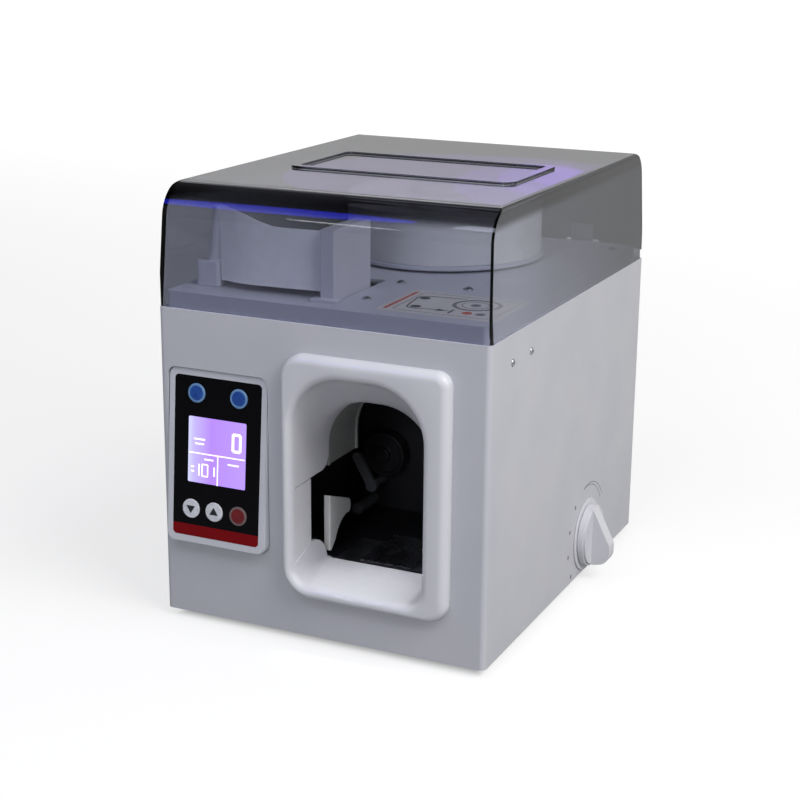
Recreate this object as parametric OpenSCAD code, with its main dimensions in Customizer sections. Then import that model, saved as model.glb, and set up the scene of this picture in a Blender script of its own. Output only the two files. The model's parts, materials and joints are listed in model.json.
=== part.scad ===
// Banknote strapping machine: a counter-top cabinet with a mouth for the note bundle,
// a slanted key panel, a tape reel on the deck and a smoked cover hinged at the back.
// +X right, +Y back, +Z up. The origin is the centre of the machine's footprint box, on the table.

/* [Cabinet] */
// Width of the cabinet
case_w = 240; // [236:1:260]
// Depth of the cabinet, front to back
case_d = 308; // [304:1:340]
// Height of the cabinet's walls
case_h = 216; // [214:1:236]
// Thickness of the cabinet's walls
case_wall = 2.5; // [2:0.1:3]
// Radius of the cabinet's upright corners
corner_r = 4; // [3:0.5:8]
// Height of the rubber feet
foot_h = 6; // [5:0.5:10]
// Radius of a rubber foot
foot_r = 11; // [9:0.5:14]
// Distance from the cabinet's sides to a foot's centre
foot_inset = 28; // [24:1:36]
// Thickness of the sheet steel base
base_t = 1.5; // [1.2:0.1:2]
// Height of the deck above the top of the walls
deck_rise = 11; // [9:0.5:14]
// Wall of the deck tray
deck_wall = 2; // [1.6:0.1:2.5]

/* [Key panel] */
// Width of the panel's frame
panel_w = 76; // [74:1:78]
// Height of the panel's frame
panel_h = 121.5; // [118:0.5:126]
// Distance from the cabinet's left side to the panel's frame
panel_margin = 6.5; // [5:0.5:10]
// Height of the panel's middle above the cabinet's bottom
panel_up = 115.3; // [110:0.5:120]
// Angle at which the panel leans back
panel_tilt = 4.7; // [3:0.1:6]
// Width of the dark panel
plate_w = 66.4; // [64:0.2:67.4]
// Height of the dark panel
plate_h = 111; // [108:0.5:112]
// Radius of a key
key_r = 6.6; // [5.5:0.1:7]
// Travel of a key
key_travel = 1; // [0.6:0.1:1.2]
// Width of the display
lcd_w = 44.5; // [42:0.5:48]
// Height of the display
lcd_h = 45.4; // [42:0.2:47]

/* [Mouth] */
// Distance between the panel's frame and the mouth's white bezel
mouth_space = 12.8; // [11:0.2:16]
// Distance from the opening's top to the top of the cabinet's walls
mouth_from_top = 33.5; // [30:0.5:40]
// Height of the mouth's floor above the cabinet's bottom
mouth_up = 38; // [38:0.5:44]
// Distance from the cabinet's right side to the opening's right edge
mouth_from_right = 43.2; // [42:0.2:48]
// Depth of the funnel behind the front wall
funnel_d = 48; // [44:1:54]
// How much narrower the strapping arch is than the opening
arch_narrower = 10.5; // [8:0.5:14]
// How much lower the strapping arch is than the opening
arch_lower = 25; // [22:0.5:32]
// Width of the paper tape
tape_w = 40; // [30:1:41]
// How far the white bezel stands proud of the front
bezel_proud = 8; // [6:0.5:10]

/* [Tape reel] */
// Radius of the full paper roll
roll_r = 70; // [50:1:74]
// Radius of the roll's paper core
core_r = 26; // [22:1:30]
// Radius of the turntable
turn_r = 72; // [70:1:76]
// Distance of the reel's axis behind the cabinet's middle
reel_back = 46; // [44:1:50]
// Radius of the tape's guide disc
disc_r = 41; // [36:1:42]

/* [Cover] */
// Height of the smoked cover
cover_h = 82; // [76:1:90]
// Thickness of the smoked cover
cover_t = 2.5; // [2:0.1:3]
// Radius of the cover's front bend
cover_front_r = 23; // [16:1:28]
// Radius of the cover's rear bend
cover_back_r = 17; // [12:1:22]

/* [Dial] */
// Radius of the tension dial
dial_r = 23; // [20:0.5:26]
// How far the dial stands out from the side
dial_reach = 20.5; // [18:0.5:24]
// Height of the dial above the cabinet's bottom
dial_up = 28; // [27:0.5:34]
// Distance of the dial behind the cabinet's middle
dial_back = 42; // [36:1:60]

/* [Hidden] */
$fn = 48;

gap = 0.3;      // space between parts of different bodies
fit = 0.05;     // radial clearance of a running fit
eps = 0.01;     // overrun of a cut

wall_b = foot_h;                    // bottom of the cabinet
wall_t = foot_h + case_h;           // top of the cabinet's walls
deck_z = wall_t + deck_rise;        // top of the deck
cover_z = wall_t + cover_h;         // top of the cover
front = -case_d/2;
back = case_d/2;
in_front = front + case_wall;
in_back = back - case_wall;
in_side = case_w/2 - case_wall;
floor_z = wall_b + base_t;          // inside of the base
hinge_z = wall_t + 7;               // the cover's axis
hinge_y = back - 7;

// the mouth's opening and the strapping arch behind it
rim_left = 7.5;
rim_right = 18.2;
rim_below = 9;
rim_above = 14.5;
mx0 = -case_w/2 + panel_margin + panel_w + mouth_space + rim_left;
mx1 = case_w/2 - mouth_from_right;
mz0 = wall_b + mouth_up;
mz1 = wall_t - mouth_from_top;
arch_w = mx1 - mx0 - arch_narrower;
ax0 = mx0;
ax1 = ax0 + arch_w;
az1 = mz1 - arch_lower;
arch_r = arch_w*0.443;
mouth_top_r = (mx1 - mx0)*0.383;
funnel_back = front + funnel_d;

// the footprint box runs from the bezel's front to the back and from the left side to the dial
mid_x = dial_reach/2;
mid_y = -bezel_proud/2;

// ---------- helpers ----------
function arc(c, r, a0, a1, n = 10) = [for (i = [0:n]) c + r*[cos(a0 + (a1 - a0)*i/n), sin(a0 + (a1 - a0)*i/n)]];
// a rectangle with its own radius at each corner: bottom left, bottom right, top right, top left
function round_rect(x0, x1, y0, y1, r, n = 10) = concat(
    arc([x0 + r[0], y0 + r[0]], r[0], 180, 270, n),
    arc([x1 - r[1], y0 + r[1]], r[1], 270, 360, n),
    arc([x1 - r[2], y1 - r[2]], r[2], 0, 90, n),
    arc([x0 + r[3], y1 - r[3]], r[3], 90, 180, n));
// a flat shape in X and Z, made a slab from y forwards
module facing(y, t) translate([0, y, 0]) rotate([90, 0, 0]) linear_extrude(t) children();
module rounded(w, d, r) {
    square([w - 2*r, d], center = true);
    square([w, d - 2*r], center = true);
    for (x = [-1, 1], y = [-1, 1]) translate([x*(w/2 - r), y*(d/2 - r)]) circle(r);
}
module box(x0, x1, y0, y1, z0, z1) translate([x0, y0, z0]) cube([x1 - x0, y1 - y0, z1 - z0]);
module along_x(r, x0, x1, y, z) translate([x0, y, z]) rotate([0, 90, 0]) cylinder(r = r, h = x1 - x0);
module along_y(r, y0, y1, x, z) translate([x, y1, z]) rotate([90, 0, 0]) cylinder(r = r, h = y1 - y0);
module tube(r, bore, h) difference() {
    cylinder(r = r, h = h);
    translate([0, 0, -1]) cylinder(r = bore, h = h + 2);
}
// a pan head screw with a cross recess, head upwards, shank below
module pan_screw(head_r, head_h, shank_r, shank_l) difference() {
    union() {
        cylinder(r = head_r, h = head_h*0.55);
        translate([0, 0, head_h*0.55]) cylinder(r = head_r*0.82, h = head_h*0.45);
        translate([0, 0, -shank_l]) cylinder(r = shank_r, h = shank_l);
    }
    for (a = [0, 90]) rotate([0, 0, a]) translate([-head_r*0.5, -0.35, head_h*0.5]) cube([head_r, 0.7, head_h]);
}
// places a part of the machine in the part's own frame
module place() translate([-mid_x, -mid_y, 0]) children();

// ---------- cabinet ----------
foot_x = case_w/2 - foot_inset;
foot_y = case_d/2 - foot_inset;
foot_hole_r = 2.2;
foot_seat = 2.5;     // depth of rubber under the screw head
pan_gap = 0.3;       // base to wall
pan_lip = 14;
vent_y0 = front + 96;
vent_l = 50;
module at_feet() for (x = [-1, 1], y = [-1, 1]) translate([x*foot_x, y*foot_y, 0]) children();

module rubber_feet() color([0.12, 0.12, 0.13]) at_feet() difference() {
    union() {
        cylinder(r = foot_r, h = foot_h - 2);
        translate([0, 0, foot_h - 2]) cylinder(r = foot_r - 1, h = 2);
    }
    translate([0, 0, -1]) cylinder(r = foot_hole_r, h = foot_h + 2);
    translate([0, 0, -1]) cylinder(r = 4.6, h = foot_h - foot_seat + 1);
}
module foot_screws() color("silver") at_feet() translate([0, 0, foot_h - foot_seat]) mirror([0, 0, 1])
    pan_screw(3.9, 2.2, foot_hole_r - 0.2, foot_seat + base_t + 3);

module base_pan() color([0.7, 0.71, 0.72]) difference() {
    translate([0, 0, wall_b]) linear_extrude(pan_lip) rounded(2*in_side - 2*pan_gap, 2*in_back - 2*pan_gap, 2);
    translate([0, 0, floor_z]) linear_extrude(pan_lip)
        rounded(2*in_side - 2*pan_gap - 2*base_t, 2*in_back - 2*pan_gap - 2*base_t, 1);
    at_feet() translate([0, 0, wall_b - 1]) cylinder(r = foot_hole_r, h = base_t + 2);
    for (i = [0:7]) box(-66 + i*12, -60 + i*12, vent_y0, vent_y0 + vent_l, wall_b - 1, floor_z + 1);
}

shell_lip = 5;
rear_rim = 16;        // wider lip that carries the hinges
rear_lap = 7;         // rear panel over the edge of its opening
rear_open_w = case_w - 36;
rear_open_z0 = wall_b + pan_lip + rear_lap + 1;
rear_open_z1 = wall_t - 14;
side_screw_y = [front + 36, front + 69];
side_screw_z = wall_b + case_h - 18.5;
module cabinet_shell() color([0.80, 0.80, 0.82]) difference() {
    translate([0, 0, wall_b]) linear_extrude(case_h) rounded(case_w, case_d, corner_r);
    translate([0, 0, wall_b - 1]) linear_extrude(case_h - case_wall + 1)
        rounded(2*in_side, 2*in_back, corner_r - case_wall/2);
    translate([0, (shell_lip - rear_rim)/2, wall_t - case_wall - 1]) linear_extrude(case_wall + 2) rounded(2*in_side - 2*shell_lip, 2*in_back - shell_lip - rear_rim, 3);
    box(-rear_open_w/2, rear_open_w/2, in_back - 1, back + 1, rear_open_z0, rear_open_z1);
    panel_pocket(gap);
    facing(in_front + 1, case_wall + 2) polygon(tunnel_outline(tunnel_t + gap));
    along_x(dial_bush_r + gap, in_side - 1, case_w/2 + 1, dial_back, dial_z);
    for (y = side_screw_y) along_x(1.8, -case_w/2 - 1, case_w/2 + 1, y, side_screw_z);
    rear_screw_places() cylinder(r = 1.6, h = 12, center = true);
}

plate_t = 1.5;
inlet_x = -in_side + 51.5;
inlet_z = wall_b + 40;
inlet_w = 27.5;
inlet_h = 20;
switch_x = inlet_x + 38;
switch_w = 13;
switch_h = 19;
vent_x0 = 14;
vent_w = 64;
vent_z0 = inlet_z + 44;
vent_step = (case_h - 136)/9;
module rear_plate_outline() translate([0, (rear_open_z0 + rear_open_z1)/2])
    rounded(rear_open_w + 2*rear_lap, rear_open_z1 - rear_open_z0 + 2*rear_lap, 3);
module rear_panel() color([0.62, 0.63, 0.65]) difference() {
    facing(in_back, plate_t) rear_plate_outline();
    box(inlet_x - inlet_w/2, inlet_x + inlet_w/2, 0, back, inlet_z - inlet_h/2, inlet_z + inlet_h/2);
    box(switch_x - switch_w/2, switch_x + switch_w/2, 0, back, inlet_z - switch_h/2, inlet_z + switch_h/2);
    for (i = [0:8]) box(vent_x0, vent_x0 + vent_w, 0, back, vent_z0 + i*vent_step, vent_z0 + 4 + i*vent_step);
    rear_screw_places() cylinder(r = 1.6, h = 12, center = true);
}
module rear_screw_places() for (x = [-1, 1], z = [rear_open_z0 + 12, (rear_open_z0 + rear_open_z1)/2, rear_open_z1 - 12])
    translate([x*(rear_open_w/2 + 3.5), back, z]) rotate([-90, 0, 0]) children();
module rear_screws() color([0.25, 0.25, 0.27]) rear_screw_places() pan_screw(3, 1.8, 1.4, 7);
module side_screws() color([0.13, 0.13, 0.15]) for (s = [-1, 1], y = side_screw_y)
    translate([s*case_w/2, y, side_screw_z]) rotate([0, s*90, 0]) pan_screw(3, 1.2, 1.6, 5);

// ---------- deck ----------
deck_gap = 2.5;           // deck to the cover's inside
deck_w = case_w - 2*(cover_t + deck_gap);
deck_d0 = front + cover_t + 1.5;
deck_d1 = hinge_y - 5;
reel_y = reel_back;
slot_x0 = ax0 + 6.2;
slot_x1 = slot_x0 + 13;
slot_y0 = front + 21;
slot_y1 = front + 98;
spindle_r = 6;
deck_edge = deck_w/2 - 11;    // line of the deck's screws
deck_screw_at = [[deck_edge - 40, deck_d0 + 92], [-deck_edge, deck_d1 - 82], [deck_edge, deck_d1 - 22],
    [-deck_edge - 2, deck_d0 + 110]];
module deck_plate() color([0.66, 0.67, 0.71]) difference() {
    union() {
        difference() {
            translate([0, (deck_d0 + deck_d1)/2, wall_t]) linear_extrude(deck_rise)
                rounded(deck_w, deck_d1 - deck_d0, 3);
            translate([0, (deck_d0 + deck_d1)/2, wall_t - 1]) linear_extrude(deck_rise - deck_wall + 1)
                rounded(deck_w - 2*deck_wall, deck_d1 - deck_d0 - 2*deck_wall, 1.5);
        }
        translate([0, reel_y, deck_z - deck_wall]) cylinder(r = 18, h = deck_wall + 1.5);
        translate([0, reel_y, deck_z - 9]) cylinder(r = 12, h = 9);
    }
    translate([0, reel_y, deck_z - 20]) cylinder(r = spindle_r + fit, h = 30);
    box(slot_x0, slot_x1, slot_y0, slot_y1, deck_z - 20, deck_z + 1);
    for (p = deck_screw_at) translate([p[0], p[1], deck_z - 20]) cylinder(r = 1.7, h = 30);
    translate([post_x, post_y, deck_z - 20]) cylinder(r = 2, h = 30);
    translate([disc_x, disc_y, deck_z - 20]) cylinder(r = disc_pin_r + fit, h = 30);
    frame_screw_places() cylinder(r = 1.7, h = 30, center = true);
}
module deck_screws() color([0.75, 0.75, 0.77]) {
    for (p = deck_screw_at) translate([p[0], p[1], deck_z]) pan_screw(3.4, 2, 1.5, 7);
    frame_screw_places() pan_screw(3, 1.6, 1.5, 6);
}

// ---------- key panel ----------
panel_x = -case_w/2 + panel_margin + panel_w/2;
panel_z = wall_b + panel_up;
panel_y = front - 3;
bezel_t = 9;
bezel_r = 6;
seat_t = 1;          // dark plate
module on_panel() translate([panel_x, panel_y, panel_z]) rotate([90 - panel_tilt, 0, 0]) children();
// the hole in the front wall that the tilted frame passes through
module panel_pocket(extra) on_panel() translate([0, 0, -20]) linear_extrude(40)
    rounded(panel_w + 2*extra, panel_h + 2*extra, bezel_r + extra);
board_w = plate_w - 6;
board_h = plate_h - 6;
module control_bezel() color([0.80, 0.80, 0.85]) difference() {
    union() {
        on_panel() translate([0, 0, -bezel_t]) linear_extrude(bezel_t - 1) rounded(panel_w, panel_h, bezel_r);
        on_panel() translate([0, 0, -1]) linear_extrude(1) rounded(panel_w - 1, panel_h - 1, bezel_r - 0.5);
        facing(in_front + 3, 3) translate([panel_x, panel_z]) rounded(panel_w - 4, panel_h + 8, 3);
    }
    on_panel() translate([0, 0, -seat_t]) linear_extrude(5) rounded(plate_w + 0.4, plate_h + 0.4, 3);
    on_panel() translate([0, 0, -40]) linear_extrude(50) rounded(board_w - 2, board_h - 2, 2);
}
strip_h = 8;
plate_z = -seat_t;   // back of the dark plate, in the panel's frame
key_top = plate_h/2 - 11.3;               // line of the blue keys
key_low = -plate_h/2 + strip_h + 11.2;    // line of the lower keys
key_places = [[-16.3, key_top], [16.2, key_top], [-19, key_low], [-1, key_low], [17.6, key_low]];
lcd_y = (key_top + key_low)/2 + 1.25;     // display's middle above the panel's
module keypad_panel() color([0.02, 0.02, 0.05]) on_panel() translate([0, 0, plate_z]) difference() {
    linear_extrude(seat_t) rounded(plate_w, plate_h, 2.8);
    translate([-plate_w, -plate_h/2 - 10 + strip_h, -1]) cube([2*plate_w, 10, 4]);
    for (p = key_places) translate([p[0], p[1], -1]) cylinder(r = key_r + 0.25, h = 4);
    translate([0, lcd_y, -1]) linear_extrude(4) rounded(lcd_w + 0.3, lcd_h + 0.3, 1.1);
}
module accent_strip() color([0.35, 0.02, 0.04]) on_panel() translate([0, 0, plate_z]) intersection() {
    linear_extrude(seat_t) rounded(plate_w, plate_h, 2.8);
    translate([-plate_w, -plate_h/2 - 10 + strip_h, -1]) cube([2*plate_w, 10 - 0.05, 4]);
}
window_t = 0.9;
module display_window() color([0.75, 0.6, 1, 0.7]) on_panel() translate([0, lcd_y, plate_z])
    linear_extrude(window_t) rounded(lcd_w, lcd_h, 1);
board_t = 1.6;
board_z = plate_z - 6;
module display_board() color([0.1, 0.35, 0.2]) on_panel() {
    difference() {
        translate([0, 0, board_z - board_t]) linear_extrude(board_t) rounded(board_w - 3, board_h - 3, 1.5);
        for (x = [-1, 1], y = [-1, 1]) translate([x*(board_w/2 - 6), y*(board_h/2 - 6), board_z - 5])
            cylinder(r = 1.6, h = 8);
    }
    translate([0, lcd_y, board_z]) linear_extrude(plate_z - board_z) square([lcd_w - 2, lcd_h - 2], center = true);
    for (p = key_places) translate([p[0], p[1], board_z]) linear_extrude(2.4) square([6, 6], center = true);
    for (x = [-1, 1], y = [-1, 1]) translate([x*(board_w/2 - 3.5), y*(board_h/2 - 24), board_z])
        cylinder(r = 1.6, h = plate_z - board_z);
}
key_up = 0.7;       // cap above the plate
module key(i) on_panel() translate([key_places[i][0], key_places[i][1], 0]) {
    cylinder(r = key_r, h = key_up - 0.3);
    translate([0, 0, key_up - 0.3]) cylinder(r = key_r - 0.4, h = 0.3);
    translate([0, 0, plate_z]) cylinder(r = key_r, h = seat_t);
    translate([0, 0, board_z + 2.4 + key_travel + 0.15]) cylinder(r = 2.2, h = 6 - 2.4 - key_travel - 0.15);
}
module blue_key_left() color([0.08, 0.24, 0.55]) key(0);
module blue_key_right() color([0.08, 0.24, 0.55]) key(1);
module down_key() color([0.85, 0.85, 0.88]) key(2);
module up_key() color([0.85, 0.85, 0.88]) key(3);
module red_key() color([0.45, 0.08, 0.08]) key(4);

// ---------- mouth ----------
tunnel_t = 2.5;
mouth_foot_r = 13;
// the front opening, grown by g all round
function mouth_outline(g) = round_rect(mx0 - g, mx1 + g, mz0 - g, mz1 + g,
    [mouth_foot_r + g, mouth_foot_r + g, mouth_top_r + g, mouth_top_r + g]);
function arch_outline(g) = round_rect(ax0 - g, ax1 + g, mz0 - g, az1 + g, [3 + g, 3 + g, arch_r + g, arch_r + g]);
function tunnel_outline(g) = mouth_outline(g);
// the rim, made smaller by g all round and by gl at its narrow left side
function rim_outline(gl, g) = round_rect(mx0 - rim_left + gl, mx1 + rim_right - g, mz0 - rim_below + g,
    mz1 + rim_above - g, [22 - g, 14 - g, 10 - g, 16 - g]);
notch_z0 = mz0 + 20;
notch_z1 = mz0 + 66;
lip_r = 3.6;        // rounding of the opening's front edge
module slice(y, pts) facing(y, 0.02) polygon(pts);
module funnel_cut() {
    hull() {
        slice(front - bezel_proud + lip_r, mouth_outline(0));
        slice(funnel_back - 14, arch_outline(1));
    }
    hull() {
        slice(funnel_back - 14 + eps, arch_outline(1));
        slice(funnel_back + 1, arch_outline(0));
    }
}
module lip_cut() for (i = [0:2]) hull() {
    slice(front - bezel_proud + lip_r*(1 - sin(30*i)) + eps, mouth_outline(lip_r*(1 - cos(30*i))));
    slice(front - bezel_proud + lip_r*(1 - sin(30*(i + 1))) - eps, mouth_outline(lip_r*(1 - cos(30*(i + 1)))));
}
module rim_body() hull() {
    slice(front, rim_outline(0, 0));
    slice(front - bezel_proud*0.45, rim_outline(0.35, 0.5));
    slice(front - bezel_proud*0.8, rim_outline(1.5, 2.2));
    slice(front - bezel_proud + 0.02, rim_outline(3.4, 5));
}
module mouth_bezel() color([0.86, 0.86, 0.88]) difference() {
    union() {
        rim_body();
        facing(funnel_back, funnel_d + 1) polygon(tunnel_outline(tunnel_t));
    }
    funnel_cut();
    lip_cut();
    box(ax0 - 12, ax0 + 3, front + 24, funnel_back + 1, notch_z0, notch_z1);
}
track_t = 5;
track_y0 = funnel_back + gap;
track_y1 = track_y0 + tape_w + 5;
track_left_z = mz0 + 67;
module arch_track() color([0.82, 0.83, 0.84]) difference() {
    facing(track_y1, tape_w + 5) polygon(arch_outline(track_t));
    facing(track_y1 + 1, tape_w + 7) polygon(arch_outline(0));
    facing(track_y1 - 2.5, tape_w + eps) polygon(arch_outline(1.2));
    box(ax0 - 20, ax0 + arch_w/2, track_y0 - 1, track_y1 + 1, mz0 - 20, track_left_z);
    box(ax0, ax1 + 20, track_y0 - 1, track_y1 + 1, mz0 - 20, mz0 + 30);
    feed_path_cut();
}
feed_x = slot_x0 + 6.5;       // line where the tape comes down into the arch
module feed_path_cut() box(feed_x - 2, feed_x + 2.5, track_y0 + 2, track_y1 - 2, az1 - 40, az1 + 30);
// a pointed finger that leads the bundle past the arch's left foot
horn_t = 5;
horn_y0 = track_y0 + 1.4;
horn_l = 32;              // front edge to nose
horn_tip_z = mz0 + 3.5;
horn_nose_z = mz0 + 23;
horn_top_z = mz0 + 44.5;
module guide_horn() color([0.88, 0.88, 0.86]) {
    translate([ax0 - horn_t, 0, 0]) rotate([90, 0, 90]) linear_extrude(horn_t)
        polygon(concat([[horn_y0, horn_top_z], [horn_y0, horn_tip_z + 3]],
            arc([horn_y0 + 1.5, horn_tip_z + 1.5], 1.5, 180, 300, 3),
            arc([horn_y0 + horn_l - 2, horn_nose_z - 22], 23, 158, 100, 7),
            arc([horn_y0 + horn_l - 4, horn_nose_z + 4], 4, 290, 360, 4),
            arc([horn_y0 + horn_l - 4, horn_nose_z + 7], 4, 0, 72, 4)));
    box(bay_x0 + bay_t, ax0 - horn_t, horn_y0 + 13, horn_y0 + 23, horn_top_z - 20, horn_top_z - 10);
}

// ---------- strapping bay ----------
bay_t = 2;
bay_x0 = ax0 - track_t - 24;
bay_x1 = ax1 + track_t + 6;
bay_y1 = funnel_back + 112;
bay_z1 = az1 + track_t + bay_t;
head_x0 = ax0 + 4;
head_x1 = ax1 - 4;
head_y0 = track_y0 + 2;
head_y1 = track_y1 - 2;
module bay_housing() color([0.10, 0.10, 0.11]) difference() {
    union() {
        box(bay_x0, bay_x1, funnel_back, bay_y1, mz0 - bay_t, bay_z1);
        for (x = [bay_x0 + 5, bay_x1 - 5], y = [funnel_back + 6, bay_y1 - 6]) translate([x, y, floor_z])
            cylinder(r = 4, h = mz0 - bay_t - floor_z + 1);
    }
    box(bay_x0 + bay_t, bay_x1 - bay_t, track_y0 - 1, bay_y1 - bay_t, mz0, bay_z1 - bay_t);
    box(head_x0 - gap, head_x1 + gap, head_y0 - gap, head_y1 + gap, mz0 - 5, mz0 + 1);
    box(feed_x - 5, feed_x + 5, track_y0 + 2, track_y1 - 2, bay_z1 - 5, bay_z1 + 5);
    along_y(drum_pin_r + fit, bay_y1 - 5, bay_y1 + 5, drum_x, drum_z);
    along_y(lever_pin_r + fit, bay_y1 - 5, bay_y1 + 5, lever_x, lever_z);
    along_y(lever_pin_r + fit, bay_y1 - 5, bay_y1 + 5, low_x, low_z);
}
// the dark drum, the slack lever before it and the roller below them turn on the bay's back wall
drum_r = 17;
drum_pin_r = 3;
drum_x = ax0 - 5.8;
drum_z = mz0 + 45;
drum_y0 = bay_y1 - bay_t - 12;
drum_dish = 3;
module tape_drum() color([0.09, 0.09, 0.10]) {
    difference() {
        along_y(drum_r, drum_y0, drum_y0 + 10, drum_x, drum_z);
        along_y(drum_r - drum_dish, drum_y0 - 1, drum_y0 + 1.5, drum_x, drum_z);
    }
    along_y(drum_r/3, drum_y0 - 2, drum_y0 + 2, drum_x, drum_z);
    along_y(drum_pin_r, drum_y0, bay_y1 + 3, drum_x, drum_z);
}
lever_pin_r = 2.5;
lever_x = drum_x - 3;
lever_z = drum_z - drum_r - 3.5;
lever_y0 = drum_y0 - 14;
lever_l = 24;
lever_w = 7;
lever_t = 4;
lever_angle = 120;
module bay_lever() color([0.45, 0.45, 0.46]) {
    translate([lever_x, lever_y0 + lever_t, lever_z]) rotate([90, 0, 0]) linear_extrude(lever_t)
        rotate([0, 0, lever_angle]) {
            translate([0, -lever_w/2]) square([lever_l, lever_w]);
            circle(lever_w/2 + 1);
            translate([lever_l, 0]) circle(lever_w/2);
        }
    along_y(lever_pin_r, lever_y0, bay_y1 + 3, lever_x, lever_z);
    along_y(3, lever_y0 + lever_t - 1, bay_y1 - bay_t - 0.2, lever_x, lever_z);
}
low_r = 4.5;
low_x = drum_x - 12.5;
low_z = mz0 + 6;
module lower_roller() color([0.45, 0.48, 0.55]) {
    along_y(low_r, drum_y0 - 18, bay_y1 - bay_t - gap, low_x, low_z);
    along_y(lever_pin_r, drum_y0 - 20, bay_y1 + 3, low_x, low_z);
}

// ---------- strapping head under the floor ----------
head_z0 = floor_z;
head_z1 = mz0 - 0.4;
head_wall = 4;
shaft_x = (head_x0 + head_x1)/2;
shaft_z = head_z0 + 14;
shaft_r = 4;
clamp_w = 36;
clamp_t = 6;
clamp_ys = [head_y0 + 5, (head_y0 + head_y1)/2 - clamp_t/2, head_y1 - 5 - clamp_t];
blade_t = [1.2, 1.8];
blade_ys = [clamp_ys[0] + clamp_t + 3, clamp_ys[1] + clamp_t + 2.7];
clamp_down = 2;       // clamp's face below the head's top at rest
head_plate_t = 8;     // guide plate that the clamps run in
cam_r = 6.5;
cam_off = 2;
module head_block() color([0.55, 0.56, 0.58]) difference() {
    union() {
        box(head_x0, head_x1, head_y0, head_y1, head_z1 - head_plate_t, head_z1);
        for (y = [head_y0, head_y1 - head_wall]) box(head_x0, head_x1, y, y + head_wall, head_z0, head_z1);
    }
    for (y = clamp_ys) box(shaft_x - clamp_w/2 - gap, shaft_x + clamp_w/2 + gap, y - gap, y + clamp_t + gap,
        head_z0 + 2, head_z1 + 1);
    for (i = [0, 1]) box(shaft_x - clamp_w/2 - gap, shaft_x + clamp_w/2 + gap, blade_ys[i] - gap,
        blade_ys[i] + blade_t[i] + gap, head_z0 + 2, head_z1 + 1);
    along_y(shaft_r + fit, head_y0 - 1, head_y1 + 1, shaft_x, shaft_z);
}
module clamp(i) box(shaft_x - clamp_w/2, shaft_x + clamp_w/2, clamp_ys[i], clamp_ys[i] + clamp_t,
    shaft_z + cam_r + cam_off + gap, head_z1 - clamp_down);
module serrated(i) color([0.70, 0.70, 0.72]) difference() {
    clamp(i);
    for (k = [-8:8]) translate([shaft_x + k*2, clamp_ys[i] + clamp_t/2, head_z1 - clamp_down]) rotate([0, 45, 0])
        cube([0.7, clamp_t + 2, 0.7], center = true);
}
module front_clamp() serrated(0);
module middle_clamp() serrated(1);
module rear_clamp() serrated(2);
module cutter_blade() color([0.80, 0.81, 0.83]) translate([shaft_x, blade_ys[0] + blade_t[0], 0])
    rotate([90, 0, 0]) linear_extrude(blade_t[0])
    polygon(concat([[clamp_w/2, head_z1 - 6], [clamp_w/2, shaft_z + cam_r + cam_off + gap],
        [-clamp_w/2, shaft_z + cam_r + cam_off + gap], [-clamp_w/2, head_z1 - 6]],
        [for (k = [0:11]) each [[-clamp_w/2 + 1.5 + k*3, head_z1 - 2], [-clamp_w/2 + 3 + k*3, head_z1 - 4]]]));
module heater_blade() color([0.72, 0.45, 0.25]) box(shaft_x - clamp_w/2, shaft_x + clamp_w/2, blade_ys[1],
    blade_ys[1] + blade_t[1], shaft_z + cam_r + cam_off + gap, head_z1 - 1.5);
gear_n = 32;
pinion_n = 12;
gear_m = 0.8;
gear_t = 5;
gear_y = head_y1 + 2;
// simple spur gear with straight flanked teeth; turn is the first tooth's angle
module spur(n, turn, h, bore) linear_extrude(h) difference() {
    union() {
        circle(gear_m*n/2 - 1.1*gear_m);
        for (k = [0:n - 1]) rotate([0, 0, turn + k*360/n]) translate([gear_m*n/2, 0])
            polygon([[-1.25*gear_m, -0.78*gear_m], [0, -0.66*gear_m], [0.75*gear_m, -0.34*gear_m],
                [0.75*gear_m, 0.34*gear_m], [0, 0.66*gear_m], [-1.25*gear_m, 0.78*gear_m]]);
    }
    circle(bore);
}
gear_gap = gear_m*(gear_n + pinion_n)/2 + 0.25;
pinion_x = shaft_x + gear_gap;
module facing_gear(x, z, y) translate([x, y, z]) rotate([-90, 0, 0]) children();
module cam_shaft() color([0.6, 0.61, 0.63]) {
    along_y(shaft_r, head_y0 - 2, gear_y + gear_t + 2, shaft_x, shaft_z);
    for (i = [0:2]) translate([shaft_x, 0, shaft_z]) rotate([0, i*25, 0])
        along_y(cam_r, clamp_ys[i] + 1, clamp_ys[i] + clamp_t - 1, 0, cam_off);
    facing_gear(shaft_x, shaft_z, gear_y) spur(gear_n, 360/gear_n/2, gear_t, shaft_r - eps);
}
motor_shaft_r = 2.5;
module drive_pinion() color("goldenrod") facing_gear(pinion_x, shaft_z, gear_y) {
    spur(pinion_n, 0, gear_t, motor_shaft_r - eps);
    translate([0, 0, -1.5]) cylinder(r = motor_shaft_r, h = gear_t + 13);
}
cam_motor_r = 13.5;
cam_motor_l = 46;
module cam_motor() color([0.30, 0.31, 0.33]) {
    y0 = gear_y + gear_t + 4;
    difference() {
        union() {
            along_y(cam_motor_r, y0 + 3, y0 + cam_motor_l, pinion_x, shaft_z);
            box(pinion_x - 20, pinion_x + 20, y0, y0 + 3, floor_z, shaft_z + 17);
            box(pinion_x - 20, pinion_x + 20, y0, y0 + 26, floor_z, floor_z + 2);
        }
        along_y(motor_shaft_r + fit, y0 - 1, y0 + 12, pinion_x, shaft_z);
    }
}
// steel plate over the head that the strap is pulled against; it slides back to free the bundle
anvil_t = 0.8;
module anvil_plate() color([0.78, 0.79, 0.80]) {
    box(shaft_x - clamp_w/2 - 1, shaft_x + clamp_w/2 + 1, head_y0 + 1, head_y1 + 14, mz0 + gap, mz0 + gap + anvil_t);
}

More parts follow.
